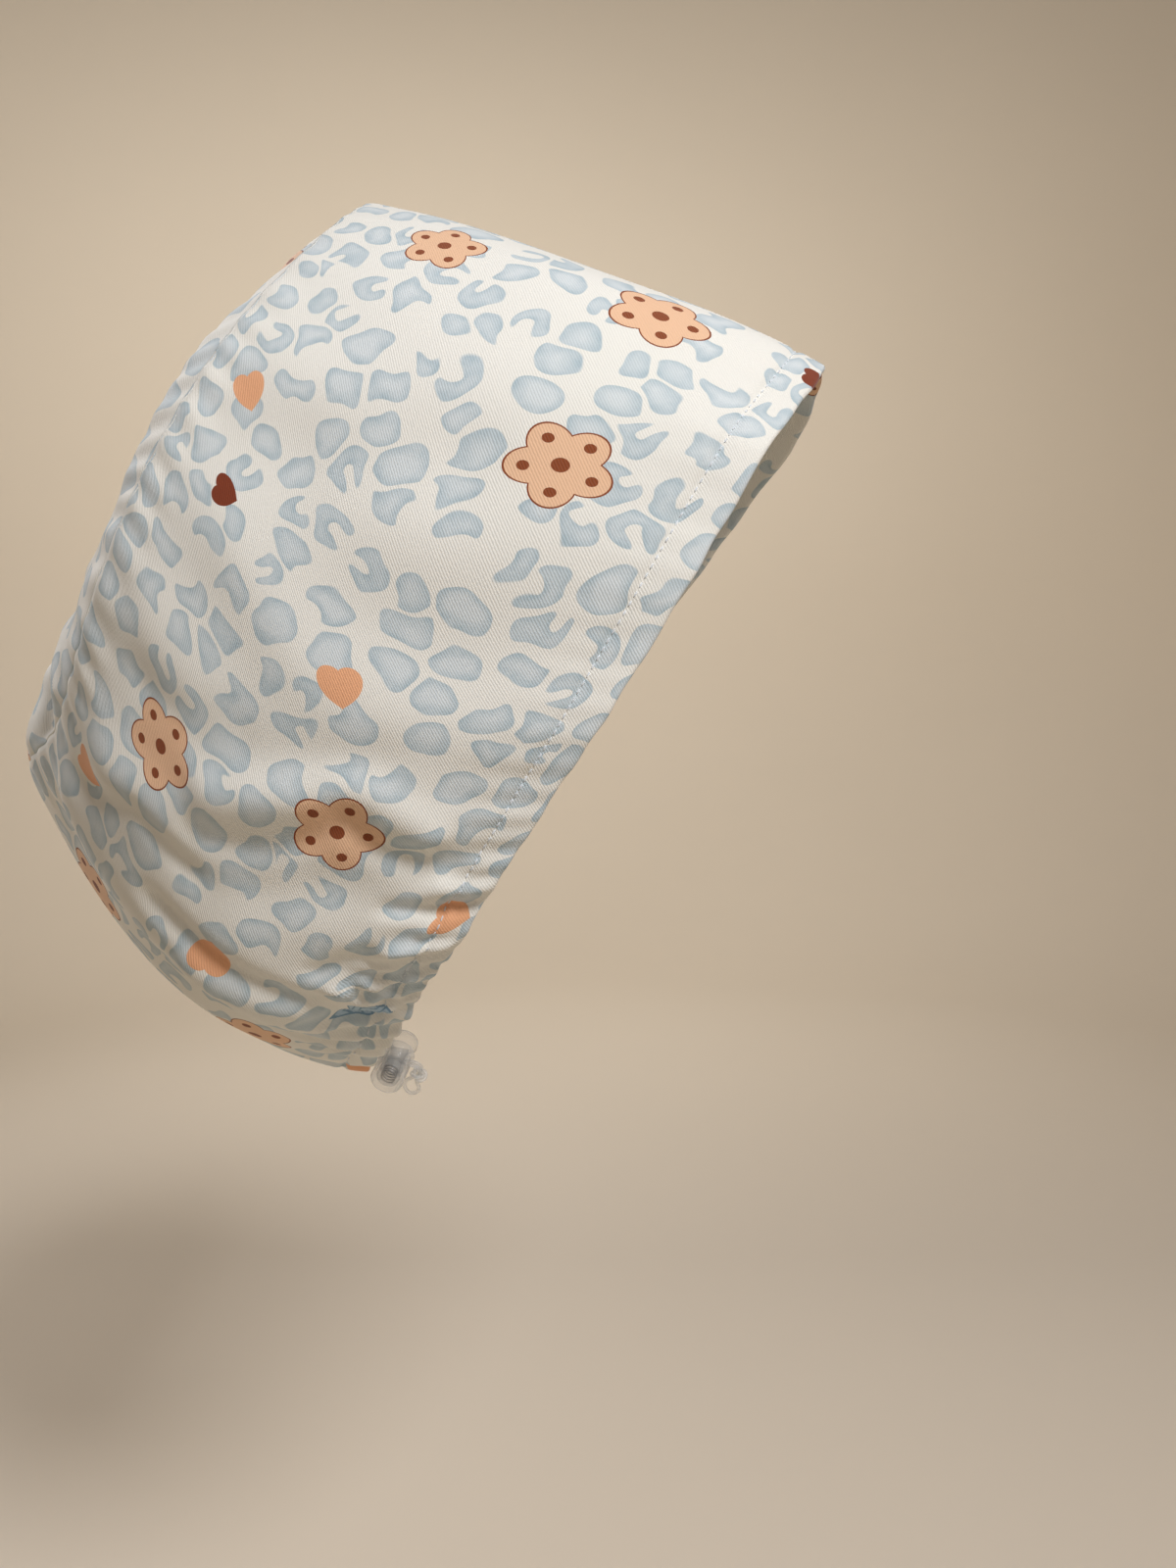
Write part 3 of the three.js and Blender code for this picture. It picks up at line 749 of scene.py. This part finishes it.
def rounded(radius, height, edge, quarter):
    """Points of a round edge about a middle; quarter is the angle in degrees where it starts."""
    turns = [math.radians(quarter + 90 * step / edge_steps) for step in range(edge_steps + 1)]
    return [(radius + edge * math.cos(turn), height + edge * math.sin(turn)) for turn in turns]


def cylinder(radius, height, stretch=0):
    """A cutter across the lock; stretch lengthens its outline along the barrel into a slot."""
    bm = bmesh.new()
    bmesh.ops.create_cone(bm, cap_ends=True, segments=32, radius1=radius, radius2=radius,
                          depth=cutter_length)
    for vert in bm.verts:
        if stretch and vert.co.x > 0:
            vert.co.x += stretch
    turn = Matrix.Rotation(-math.pi / 2, 4, "Y")
    bmesh.ops.transform(bm, matrix=lock_place @ Matrix.Translation((0, 0, height)) @ turn, verts=bm.verts)
    return piece_from(bm, "cutter")


def finished_mesh(piece):
    bpy.context.view_layer.update()
    return bpy.data.meshes.new_from_object(piece.evaluated_get(bpy.context.evaluated_depsgraph_get()))


def drill(piece, cutter):
    cut = piece.modifiers.new("drill", "BOOLEAN")
    cut.operation = "DIFFERENCE"
    cut.solver = "EXACT"
    cut.object = cutter
    solid = finished_mesh(piece)
    piece.modifiers.clear()
    piece.data = solid
    bpy.data.objects.remove(cutter)
    solid.shade_smooth()


# %% The barrel
# Sizes of the lock in mm
barrel_radius, barrel_length, base_edge = 5.2, 13.6, 1.2
bore_radius, bore_floor, floor_edge = 3.7, 1.4, 0.6
lip_edge = 0.4
barrel_profile = [
    (0, 0), *rounded(barrel_radius - base_edge, base_edge, base_edge, -90),
    *rounded(barrel_radius - lip_edge, barrel_length - lip_edge, lip_edge, 0),
    *rounded(bore_radius + lip_edge, barrel_length - lip_edge, lip_edge, 90),
    (bore_radius, bore_floor + floor_edge), (bore_radius - floor_edge, bore_floor), (0, bore_floor),
]
barrel = spun("cord_lock_barrel", barrel_profile)
drill(barrel, cylinder(radius=2 * MM, height=hole_height))
print("barrel faces", len(barrel.data.polygons))

# %% The button: a stem with a socket for the spring, and a domed head
socket_radius, socket_top = 2.75, 7.5
stem_radius, stem_foot, stem_top, stem_edge = 3.4, 4.9, 17.0, 0.2
head_radius, head_foot, head_edge = 4.7, 17.1, 0.3
dome_foot, dome_height = 18.3, 2.4
dome_start, dome_steps = 0.15, 10
button_profile = [
    (0, socket_top), (socket_radius, socket_top), (socket_radius, stem_foot),
    (stem_radius - stem_edge / 2, stem_foot), (stem_radius, stem_foot + stem_edge),
    (stem_radius, stem_top), (stem_radius + stem_edge, head_foot),
    *rounded(head_radius - head_edge, head_foot + head_edge, head_edge, -90), (head_radius, dome_foot),
]
for rise in np.linspace(dome_start, math.pi / 2, dome_steps):
    button_profile.append((head_radius * math.cos(rise), dome_foot + dome_height * math.sin(rise)))
button_profile[-1] = (0, dome_foot + dome_height)
button = spun("cord_lock_button", button_profile)
drill(button, cylinder(radius=1.5 * MM, height=9.9 * MM, stretch=3.5 * MM))
print("button faces", len(button.data.polygons))

# %% The spring
wire_radius, coil_radius, coil_foot, coil_rise = 0.25 * MM, 2.2 * MM, 1.95 * MM, 5 * MM
coil_rounds, coil_steps = 4.5, 150
bm = bmesh.new()
wire = bmesh.ops.create_circle(bm, segments=8, radius=wire_radius)["verts"]
bmesh.ops.rotate(bm, verts=wire, cent=(0, 0, 0), matrix=Matrix.Rotation(math.pi / 2, 3, "X"))
bmesh.ops.translate(bm, verts=wire, vec=(coil_radius, 0, coil_foot))
wire_edges = list(bm.edges)
bmesh.ops.spin(bm, geom=wire + wire_edges, cent=(0, 0, 0), axis=(0, 0, 1), angle=2 * math.pi * coil_rounds,
               steps=coil_steps, dvec=(0, 0, coil_rise / coil_steps))
bmesh.ops.holes_fill(bm, edges=[edge for edge in bm.edges if edge.is_boundary])
bmesh.ops.recalc_face_normals(bm, faces=bm.faces)
bmesh.ops.transform(bm, matrix=lock_place, verts=bm.verts)
spring = piece_from(bm, "cord_lock_spring")
print("spring faces", len(spring.data.polygons))

# %% [markdown]
# ## The knot
# The two strands are tied together once. A trefoil is the plainest closed knot, and drawn tight round the
# strands it looks as an overhand knot in thick elastic does.

# %% A small tight knot
knot_middle = lock_middle + Vector((7.1, 1.0, -4.95)) * MM
knot_heading = Vector((-0.44, 0.48, -0.76)).normalized()
knot_turn = knot_heading.to_track_quat("Z", "Y")
knot_steps, knot_thickness = 36, 1.1 * MM
# Radius, its swing and the rise of the line in mm
knot_radius, knot_swing, knot_rise = 1.9, 0.45, 0.75
knot_points = []
for step in range(knot_steps):
    angle = 2 * math.pi * step / knot_steps
    radius = knot_radius + knot_swing * math.cos(3 * angle)
    rise = knot_rise * math.sin(3 * angle)
    place = Vector((radius * math.cos(2 * angle), radius * math.sin(2 * angle), rise))
    knot_points.append(knot_middle + knot_turn @ place * MM)
knot_line = round_curve("knot_line", knot_points, knot_thickness, closed=True)
knot = add_object("knot", finished_mesh(knot_line))
bpy.data.objects.remove(knot_line)
knot.data.shade_smooth()
print("knot faces", len(knot.data.polygons))

# %% [markdown]
# ## Materials
# Each material is a small tree of nodes. One helper adds a node of any kind: an operation in capitals, such
# as MULTIPLY, gives a Math node. Colours are written as the hex values that a painter would pick on screen,
# and are turned linear once, here.

# %% Helpers for materials
def linear(hex_colour):
    """The standard sRGB curve, undone for each channel."""
    channels = [int(hex_colour[place:place + 2], 16) / 255 for place in (1, 3, 5)]
    return (*[c / 12.92 if c <= 0.04045 else ((c + 0.055) / 1.055) ** 2.4 for c in channels], 1)


def add_node(tree, kind, inputs, **settings):
    """Adds a node, sets it, and feeds its inputs by order, number or name. Returns its first live output."""
    node = tree.nodes.new("ShaderNodeMath" if kind.isupper() else "ShaderNode" + kind)
    if kind.isupper():
        node.operation = kind
    for name, value in settings.items():
        setattr(node, name, value)
    for key, value in inputs.items() if isinstance(inputs, dict) else enumerate(inputs):
        if isinstance(value, bpy.types.NodeSocket):
            tree.links.new(value, node.inputs[key])
        else:
            node.inputs[key].default_value = value
    return next(output for output in node.outputs if output.enabled)


def new_material(name):
    material = bpy.data.materials.new(name)
    material.use_nodes = True
    material.node_tree.nodes.clear()
    return material, material.node_tree


def finish_material(tree, inputs):
    shader = add_node(tree, "BsdfPrincipled", inputs)
    output = tree.nodes.new("ShaderNodeOutputMaterial")
    tree.links.new(shader, output.inputs["Surface"])


# %% [markdown]
# ## Printed cotton
# The cloth is a fine cotton twill with a watercolour leopard print in pale blue on cream, and a few coloured
# figures strewn over it. The print follows the cloth, so it is drawn on the UV map, which holds the flat
# cloth's own metres. A Voronoi texture gives each spot a cell of its own, and half the difference between
# its two nearest distances is a rounded distance from the cell's border, which makes blots of uneven size
# with an even gap. A ring's mouth, a bean's hollow or a waist is then cut out by chance. Paint pools at the
# edge of a wet stroke, so each spot is darker along its edge.

# %% Distances on the cloth
def length_of_pair(tree, x, y):
    y_square = add_node(tree, "MULTIPLY", [y, y])
    return add_node(tree, "SQRT", [add_node(tree, "MULTIPLY_ADD", [x, x, y_square])])


def cell_places(tree, place, cells):
    """Places in mm from the middle of each cell, turned by chance, and the cell's three chances."""
    cell = add_node(tree, "TexVoronoi", cells, voronoi_dimensions="2D").node
    chances = add_node(tree, "SeparateColor", [cell.outputs["Color"]]).node.outputs
    local = add_node(tree, "VectorMath", [place, cell.outputs["Position"]], operation="SUBTRACT")
    angle = add_node(tree, "MULTIPLY", [chances[0], 2 * math.pi])
    local = add_node(tree, "VectorRotate", {"Vector": local, "Angle": angle}, rotation_type="Z_AXIS")
    x, y, _ = add_node(tree, "SeparateXYZ", [local]).node.outputs
    return x, y, chances


# %% What is cut out of a spot
# Sizes and places in mm, and the share of the spots that have each
mouth_start, mouth_radius, ring_share = 1, 1.5, 0.24
hollow_place, hollow_radius, bean_share = 6.6, 4.2, 0.26
waist_place, waist_radius, waist_share = 6.8, 3.2, 0.16
uncut = 20


def spot_cut(tree, x, y, sort):
    """Distance in mm from what is cut out: an open ring, the hollow of a bean, a waist, or nothing."""
    past_start = add_node(tree, "MAXIMUM", [add_node(tree, "SUBTRACT", [mouth_start, x]), 0])
    ring = add_node(tree, "SUBTRACT", [length_of_pair(tree, past_start, y), mouth_radius])
    beside = add_node(tree, "SUBTRACT", [x, hollow_place])
    hollow = add_node(tree, "SUBTRACT", [length_of_pair(tree, beside, y), hollow_radius])
    beside = add_node(tree, "SUBTRACT", [add_node(tree, "ABSOLUTE", [y]), waist_place])
    waist = add_node(tree, "SUBTRACT", [length_of_pair(tree, x, beside), waist_radius])
    cut = uncut
    for share, shape in ((ring_share + bean_share + waist_share, waist), (ring_share + bean_share, hollow),
                         (ring_share, ring)):
        cut = add_node(tree, "Mix", {0: add_node(tree, "LESS_THAN", [sort, share]), 2: cut, 3: shape})
    return cut


# %% Leopard spots
# Sizes in mm
spot_pitch, spot_gap, spot_randomness = 12.8, 0.6, 0.72
spot_radius, radius_spread, spot_flatness = 6, 1.8, 1.15
shake_length, shake_reach = 9, 5
border_blend, cut_blend = 6, 3
wet_edge_start, wet_edge_end = -0.1, 0.3
pool_width, pool_pale = 3, 0.05
wash_length, wash_pale = 5, 0.45


def leopard_spots(tree, cloth):
    """Mask of the spots and how much paint lies there; cloth is the place on the flat cloth in mm."""
    shake = add_node(tree, "TexNoise", {"Vector": cloth, "Scale": 1 / shake_length, "Detail": 0},
                     noise_dimensions="2D")
    shake = shake.node.outputs["Color"]
    shake = add_node(tree, "VectorMath", [shake, (0.5, 0.5, 0.5)], operation="SUBTRACT")
    shake = add_node(tree, "VectorMath", {0: shake, "Scale": shake_reach}, operation="SCALE")
    place = add_node(tree, "VectorMath", [cloth, shake], operation="ADD")

    cells = {"Vector": place, "Scale": 1 / spot_pitch, "Randomness": spot_randomness}
    nearest = add_node(tree, "TexVoronoi", cells, voronoi_dimensions="2D", feature="F1")
    second = add_node(tree, "TexVoronoi", cells, voronoi_dimensions="2D", feature="F2")
    border = add_node(tree, "SUBTRACT", [second, nearest])
    border = add_node(tree, "MULTIPLY_ADD", [border, spot_pitch / 2, -spot_gap / 2])
    x, y, chances = cell_places(tree, place, cells)
    reach = length_of_pair(tree, x, add_node(tree, "MULTIPLY", [y, spot_flatness]))
    radius = add_node(tree, "MULTIPLY_ADD", [chances[1], radius_spread, spot_radius])
    inside = add_node(tree, "SUBTRACT", [radius, reach])
    inside = add_node(tree, "SMOOTH_MIN", [border, inside, border_blend])
    inside = add_node(tree, "SMOOTH_MIN", [inside, spot_cut(tree, x, y, chances[2]), cut_blend])

    wet_edge = {"Value": inside, "From Min": wet_edge_start, "From Max": wet_edge_end}
    mask = add_node(tree, "MapRange", wet_edge, interpolation_type="SMOOTHSTEP")
    pooled = add_node(tree, "MapRange", {"Value": inside, "From Min": pool_width, "From Max": wet_edge_end,
                                         "To Min": pool_pale})
    wash = add_node(tree, "TexNoise", {"Vector": cloth, "Scale": 1 / wash_length, "Detail": 3},
                    noise_dimensions="2D")
    wash = add_node(tree, "MapRange", {"Value": wash, "From Min": 0.3, "From Max": 0.7, "To Min": wash_pale})
    return mask, add_node(tree, "MULTIPLY", [pooled, wash])


# %% Strewn figures: a blossom, a heart and a pair of striped leaves
# Sizes in mm
outline_width = 0.45
petal_count, blossom_radius, petal_swing = 5, 8.2, 3.4
dot_place, dot_radius, eye_radius = 7.4, 1.3, 1.9
leaf_lean, leaf_length, leaf_width = math.radians(26), 11, 4.2
stripe_slant, stripe_pitch, stripe_width = 0.8, 2.4, 0.7


def between(tree, value, low, high):
    """1 where value lies between low and high."""
    above = add_node(tree, "GREATER_THAN", [value, low])
    return add_node(tree, "MULTIPLY", [above, add_node(tree, "LESS_THAN", [value, high])])


def paint(tree, under, mask, colour):
    return add_node(tree, "Mix", {0: mask, 6: under, 7: colour}, data_type="RGBA")


def blossom(tree, x, y, colour, chosen):
    reach = length_of_pair(tree, x, y)
    angle = add_node(tree, "ARCTAN2", [y, x])
    petals = add_node(tree, "COSINE", [add_node(tree, "MULTIPLY", [angle, petal_count / 2])])
    petals = add_node(tree, "ABSOLUTE", [petals])
    edge = add_node(tree, "MULTIPLY_ADD", [petals, petal_swing, blossom_radius])
    inside = add_node(tree, "SUBTRACT", [edge, reach])
    turned = add_node(tree, "WRAP", [angle, math.pi / petal_count, -math.pi / petal_count])
    dot_x = add_node(tree, "MULTIPLY_ADD", [reach, add_node(tree, "COSINE", [turned]), -dot_place])
    dot_y = add_node(tree, "MULTIPLY", [reach, add_node(tree, "SINE", [turned])])
    dots = add_node(tree, "LESS_THAN", [length_of_pair(tree, dot_x, dot_y), dot_radius])
    brown = add_node(tree, "MAXIMUM", [between(tree, inside, 0, outline_width), dots])
    brown = add_node(tree, "MAXIMUM", [brown, add_node(tree, "LESS_THAN", [reach, eye_radius])])
    body = add_node(tree, "MULTIPLY", [add_node(tree, "GREATER_THAN", [inside, 0]), chosen])
    colour = paint(tree, colour, body, linear("#ecc09a"))
    return paint(tree, colour, add_node(tree, "MULTIPLY", [brown, chosen]), linear("#8a441c"))


def heart(tree, x, y, colour, chosen, size, tone):
    """The curve (x2 + y2 - 1)3 = x2 y3, scaled."""
    x = add_node(tree, "DIVIDE", [x, size])
    y = add_node(tree, "DIVIDE", [y, size])
    x_square = add_node(tree, "MULTIPLY", [x, x])
    y_square = add_node(tree, "MULTIPLY", [y, y])
    ball = add_node(tree, "SUBTRACT", [add_node(tree, "ADD", [x_square, y_square]), 1])
    cube = add_node(tree, "MULTIPLY", [add_node(tree, "MULTIPLY", [ball, ball]), ball])
    lobe = add_node(tree, "MULTIPLY", [x_square, add_node(tree, "MULTIPLY", [y_square, y])])
    mask = add_node(tree, "MULTIPLY", [add_node(tree, "LESS_THAN", [cube, lobe]), chosen])
    return paint(tree, colour, mask, linear(tone))


def leaf_pair(tree, x, y, colour, chosen):
    y = add_node(tree, "ABSOLUTE", [y])
    along = add_node(tree, "ADD", [add_node(tree, "MULTIPLY", [x, math.cos(leaf_lean)]),
                                   add_node(tree, "MULTIPLY", [y, math.sin(leaf_lean)])])
    across = add_node(tree, "ADD", [add_node(tree, "MULTIPLY", [x, -math.sin(leaf_lean)]),
                                    add_node(tree, "MULTIPLY", [y, math.cos(leaf_lean)])])
    across = add_node(tree, "ABSOLUTE", [across])
    share = add_node(tree, "DIVIDE", [along, leaf_length])
    width = add_node(tree, "MULTIPLY", [share, share])
    width = add_node(tree, "MULTIPLY_ADD", [width, -leaf_width, leaf_width])
    inside = add_node(tree, "SUBTRACT", [width, across])
    slanted = add_node(tree, "MULTIPLY_ADD", [across, stripe_slant, along])
    stripe = add_node(tree, "LESS_THAN", [add_node(tree, "WRAP", [slanted, stripe_pitch, 0]), stripe_width])
    line = add_node(tree, "MAXIMUM", [between(tree, inside, 0, outline_width), stripe])
    body = add_node(tree, "MULTIPLY", [add_node(tree, "GREATER_THAN", [inside, 0]), chosen])
    colour = paint(tree, colour, body, linear("#b3c9d6"))
    return paint(tree, colour, add_node(tree, "MULTIPLY", [line, body]), linear("#7f9db1"))


# %% Where the figures lie
figure_pitch, figure_randomness = 54, 0.6
# Up to which chance each is drawn, and the hearts' sizes in mm
blossom_until, dark_heart_until, pale_heart_until = 0.42, 0.62, 0.78
dark_heart_size, pale_heart_size = 3.9, 4.9


def strewn_figures(tree, cloth, colour):
    cells = {"Vector": cloth, "Scale": 1 / figure_pitch, "Randomness": figure_randomness}
    x, y, chances = cell_places(tree, cloth, cells)
    sort = chances[1]
    colour = blossom(tree, x, y, colour, between(tree, sort, -1, blossom_until))
    chosen = between(tree, sort, blossom_until, dark_heart_until)
    colour = heart(tree, x, y, colour, chosen, dark_heart_size, "#7d3109")
    chosen = between(tree, sort, dark_heart_until, pale_heart_until)
    colour = heart(tree, x, y, colour, chosen, pale_heart_size, "#f0b184")
    return leaf_pair(tree, x, y, colour, between(tree, sort, pale_heart_until, 2))


# %% The cotton itself
# Sizes in mm; the ribs of the real twill are about 0.5 mm apart, and a little coarser here so that they show
twill_pitch, twill_slope = 0.62, math.radians(47)
rib_shade, rib_height = 0.028, 0.12 * MM
slub_scale, slub_sway, slub_height = 1.4, 2.4, 1.5


def printed_cotton(name, fade):
    """Matt cotton; fade is how far the print has sunk into the ground colour, as on the wrong side."""
    material, tree = new_material(name)
    uv_map = add_node(tree, "UVMap", {}, uv_map="cloth")
    cloth = add_node(tree, "VectorMath", {0: uv_map, "Scale": 1 / MM}, operation="SCALE")
    ground = linear("#eeebe0")
    mask, paint_depth = leopard_spots(tree, cloth)
    spots = paint(tree, linear("#d8dedd"), paint_depth, linear("#aebfc4"))
    colour = paint(tree, ground, mask, spots)
    colour = strewn_figures(tree, cloth, colour)
    x, y, _ = add_node(tree, "SeparateXYZ", [cloth]).node.outputs
    ribs = add_node(tree, "ADD", [
        add_node(tree, "MULTIPLY", [x, 2 * math.pi * math.cos(twill_slope) / twill_pitch]),
        add_node(tree, "MULTIPLY", [y, 2 * math.pi * math.sin(twill_slope) / twill_pitch])])
    slub = add_node(tree, "TexNoise", {"Vector": cloth, "Scale": slub_scale, "Detail": 2},
                    noise_dimensions="2D")
    ribs = add_node(tree, "SINE", [add_node(tree, "MULTIPLY_ADD", [slub, slub_sway, ribs])])
    # Painted shade: the twill is painted a little darker along each rib, standing in for the shade of the
    # weave
    shade = add_node(tree, "MULTIPLY_ADD", [ribs, rib_shade, rib_shade])
    colour = paint(tree, colour, shade, linear("#9a9c9c"))
    colour = add_node(tree, "Mix", {0: fade, 6: colour, 7: ground}, data_type="RGBA")
    height = add_node(tree, "ADD", [ribs, add_node(tree, "MULTIPLY", [slub, slub_height])])
    bump = add_node(tree, "Bump", {"Height": height, "Strength": 0.35, "Distance": rib_height})
    finish_material(tree, {"Base Color": colour, "Roughness": 0.9, "Sheen Weight": 0.2,
                           "Sheen Roughness": 0.5, "Specular IOR Level": 0.25, "Normal": bump})
    return material


printed_face = printed_cotton("printed_cotton_twill", 0.0)
printed_reverse = printed_cotton("cotton_twill_wrong_side", 0.6)
print("cotton nodes", len(printed_face.node_tree.nodes))

# %% [markdown]
# ## Thread, clear plastic, elastic and steel
# Thread is spun polyester, a little brighter than the cloth. The lock is moulded polycarbonate, clear and
# glossy with a slightly soft surface from the mould. The cord is clear polyurethane elastic, softer and less
# glossy. The spring is drawn stainless wire.

# %% Thread, plastic, elastic and steel
def streaked(name, colours, scale, inputs, bump_depth):
    """A material whose colour wanders between two tones, with a fine unevenness of the same scale."""
    material, tree = new_material(name)
    place = add_node(tree, "TexCoord", {}).node.outputs["Object"]
    noise = add_node(tree, "TexNoise", {"Vector": place, "Scale": scale, "Detail": 3})
    colour = paint(tree, linear(colours[0]), noise, linear(colours[1]))
    bump = add_node(tree, "Bump", {"Height": noise, "Strength": 0.3, "Distance": bump_depth})
    finish_material(tree, {"Base Color": colour, "Normal": bump, **inputs})
    return material


def see_through(material, facing, edge):
    """Clear plastic seen face on is nearly gone and its rims are bright; facing and edge say how solid."""
    tree = material.node_tree
    rim = add_node(tree, "LayerWeight", {"Blend": 0.5}).node.outputs["Facing"]
    alpha = add_node(tree, "MapRange", {"Value": rim, "From Min": 0.2, "To Min": facing, "To Max": edge},
                     interpolation_type="SMOOTHSTEP")
    shader = next(node for node in tree.nodes if node.type == "BSDF_PRINCIPLED")
    tree.links.new(alpha, shader.inputs["Alpha"])


thread = streaked("spun_polyester_thread", ("#eceded", "#cfd6da"), 1 / (0.4 * MM),
                  {"Roughness": 0.7, "Sheen Weight": 0.3}, 0.05 * MM)
clear_plastic = streaked("moulded_polycarbonate", ("#fbfdfd", "#eef2f2"), 1 / (3 * MM),
                         {"Roughness": 0.1, "IOR": 1.58, "Coat Weight": 1.0}, 0.02 * MM)
see_through(clear_plastic, facing=0.12, edge=0.8)
clear_elastic = streaked("clear_polyurethane_elastic", ("#fafaf8", "#eef0ee"), 1 / (1.5 * MM),
                         {"Roughness": 0.2, "IOR": 1.5}, 0.03 * MM)
see_through(clear_elastic, facing=0.3, edge=0.95)
spring_steel = streaked("drawn_spring_steel", ("#9a9ca0", "#6f7276"), 1 / (0.8 * MM),
                        {"Roughness": 0.3, "Metallic": 1.0}, 0.01 * MM)


def dress(piece, *materials):
    piece.data.materials.clear()
    for material in materials:
        piece.data.materials.append(material)


dress(band, printed_face, printed_reverse)
dress(crown, printed_face, printed_reverse)
dress(stitches, thread)
dress(barrel, clear_plastic)
dress(button, clear_plastic)
dress(spring, spring_steel)
dress(knot, clear_elastic)
dress(elastic, clear_elastic)

# %% [markdown]
# ## Studio
# A round cove of pale warm paper goes all round, so that every view has the same plain ground. A soft lamp
# high up in front stands for the room's ceiling light and a weak wide one beside the camera for a window.
# One lights the paper behind, and one keeps the far side of the cap from going dark.

# %% Cove, lamps and air
cove_radius, cove_curve, cove_height, floor_level = 1.5, 0.5, 2.6, -0.46
curve_steps, cove_sides = 8, 96
bm = bmesh.new()
profile = [(0, floor_level), (cove_radius - cove_curve, floor_level)]
for step in range(1, curve_steps + 1):
    turn = math.pi / 2 * step / curve_steps
    profile.append((cove_radius - cove_curve + cove_curve * math.sin(turn),
                    floor_level + cove_curve * (1 - math.cos(turn))))
profile.append((cove_radius, floor_level + cove_height))
verts = [bm.verts.new((x, 0, z)) for x, z in profile]
edges = [bm.edges.new(pair) for pair in zip(verts, verts[1:])]
bmesh.ops.spin(bm, geom=verts + edges, cent=(0, 0, 0), axis=(0, 0, 1), angle=2 * math.pi,
               steps=cove_sides, use_merge=True)
bmesh.ops.remove_doubles(bm, verts=bm.verts, dist=0.01 * MM)
cove = piece_from(bm, "cove")
cove_paper = streaked("pale_paper", ("#dccfbb", "#d8cbb7"), 3, {"Roughness": 0.95}, 0.1 * MM)
dress(cove, cove_paper)


def soft_lamp(name, place, aim, size, power, colour, spread):
    lamp = bpy.data.lights.new(name, "AREA")
    lamp.shape = "DISK"
    lamp.size = size
    lamp.energy = power
    lamp.color = linear(colour)[:3]
    lamp.spread = math.radians(spread)
    lamp_object = add_object(name, lamp)
    lamp_object.location = place
    lamp_object.visible_camera = False
    lamp_object.rotation_euler = (Vector(aim) - Vector(place)).to_track_quat("-Z", "Y").to_euler()


cap_middle = (-0.05, 0, -0.12)
backdrop_middle = (-0.1, 1.5, 0.3)
# Name, place, aim, size in metres, power in watts, colour and spread in degrees
lamps = [
    ("ceiling_lamp", (0.42, -0.62, 0.68), cap_middle, 0.4, 4, "#f8f9ff", 110),
    ("window", (0.5, -1.1, 0.0), cap_middle, 0.9, 0.5, "#e6efff", 120),
    ("backdrop_lamp", (-0.1, 0.5, 0.5), backdrop_middle, 0.4, 7.2, "#fffdfb", 180),
    ("far_lamp", (-0.75, 0.35, 0.25), cap_middle, 0.5, 2.2, "#f8f9ff", 130),
]
for lamp_values in lamps:
    soft_lamp(*lamp_values)
world = bpy.data.worlds.new("air")
world.use_nodes = True
background = world.node_tree.nodes["Background"]
background.inputs["Color"].default_value = linear("#eaf0ff")
background.inputs["Strength"].default_value = 0.08
bpy.context.scene.world = world
bpy.context.scene.view_settings.view_transform = "Standard"
print("lamps", [values[0] for values in lamps])

# %% [markdown]
# ## Bodies and replaced pieces
# Last, every piece is attached to the body that carries it, and the imported pieces that it stands for are
# hidden.

# %% Bodies and replaced pieces
for piece, body, replaced, slot in [
    (band, "cap", ("band_panel", "rim_hem"), "printed_cotton"),
    (crown, "cap", ("crown_panel",), "printed_cotton"),
    (stitches, "cap", (), "printed_cotton"),
    (elastic, "cap", ("elastic_cord",), "clear_elastic"),
    (knot, "cap", ("cord_knot",), "clear_elastic"),
    (barrel, "cap", ("lock_barrel",), "clear_plastic"),
    (spring, "cap", ("lock_spring",), "spring_steel"),
    (button, "cord_lock_button", ("lock_button",), "clear_plastic"),
]:
    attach(piece, body)
    if replaced:
        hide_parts(*replaced)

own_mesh(spring)
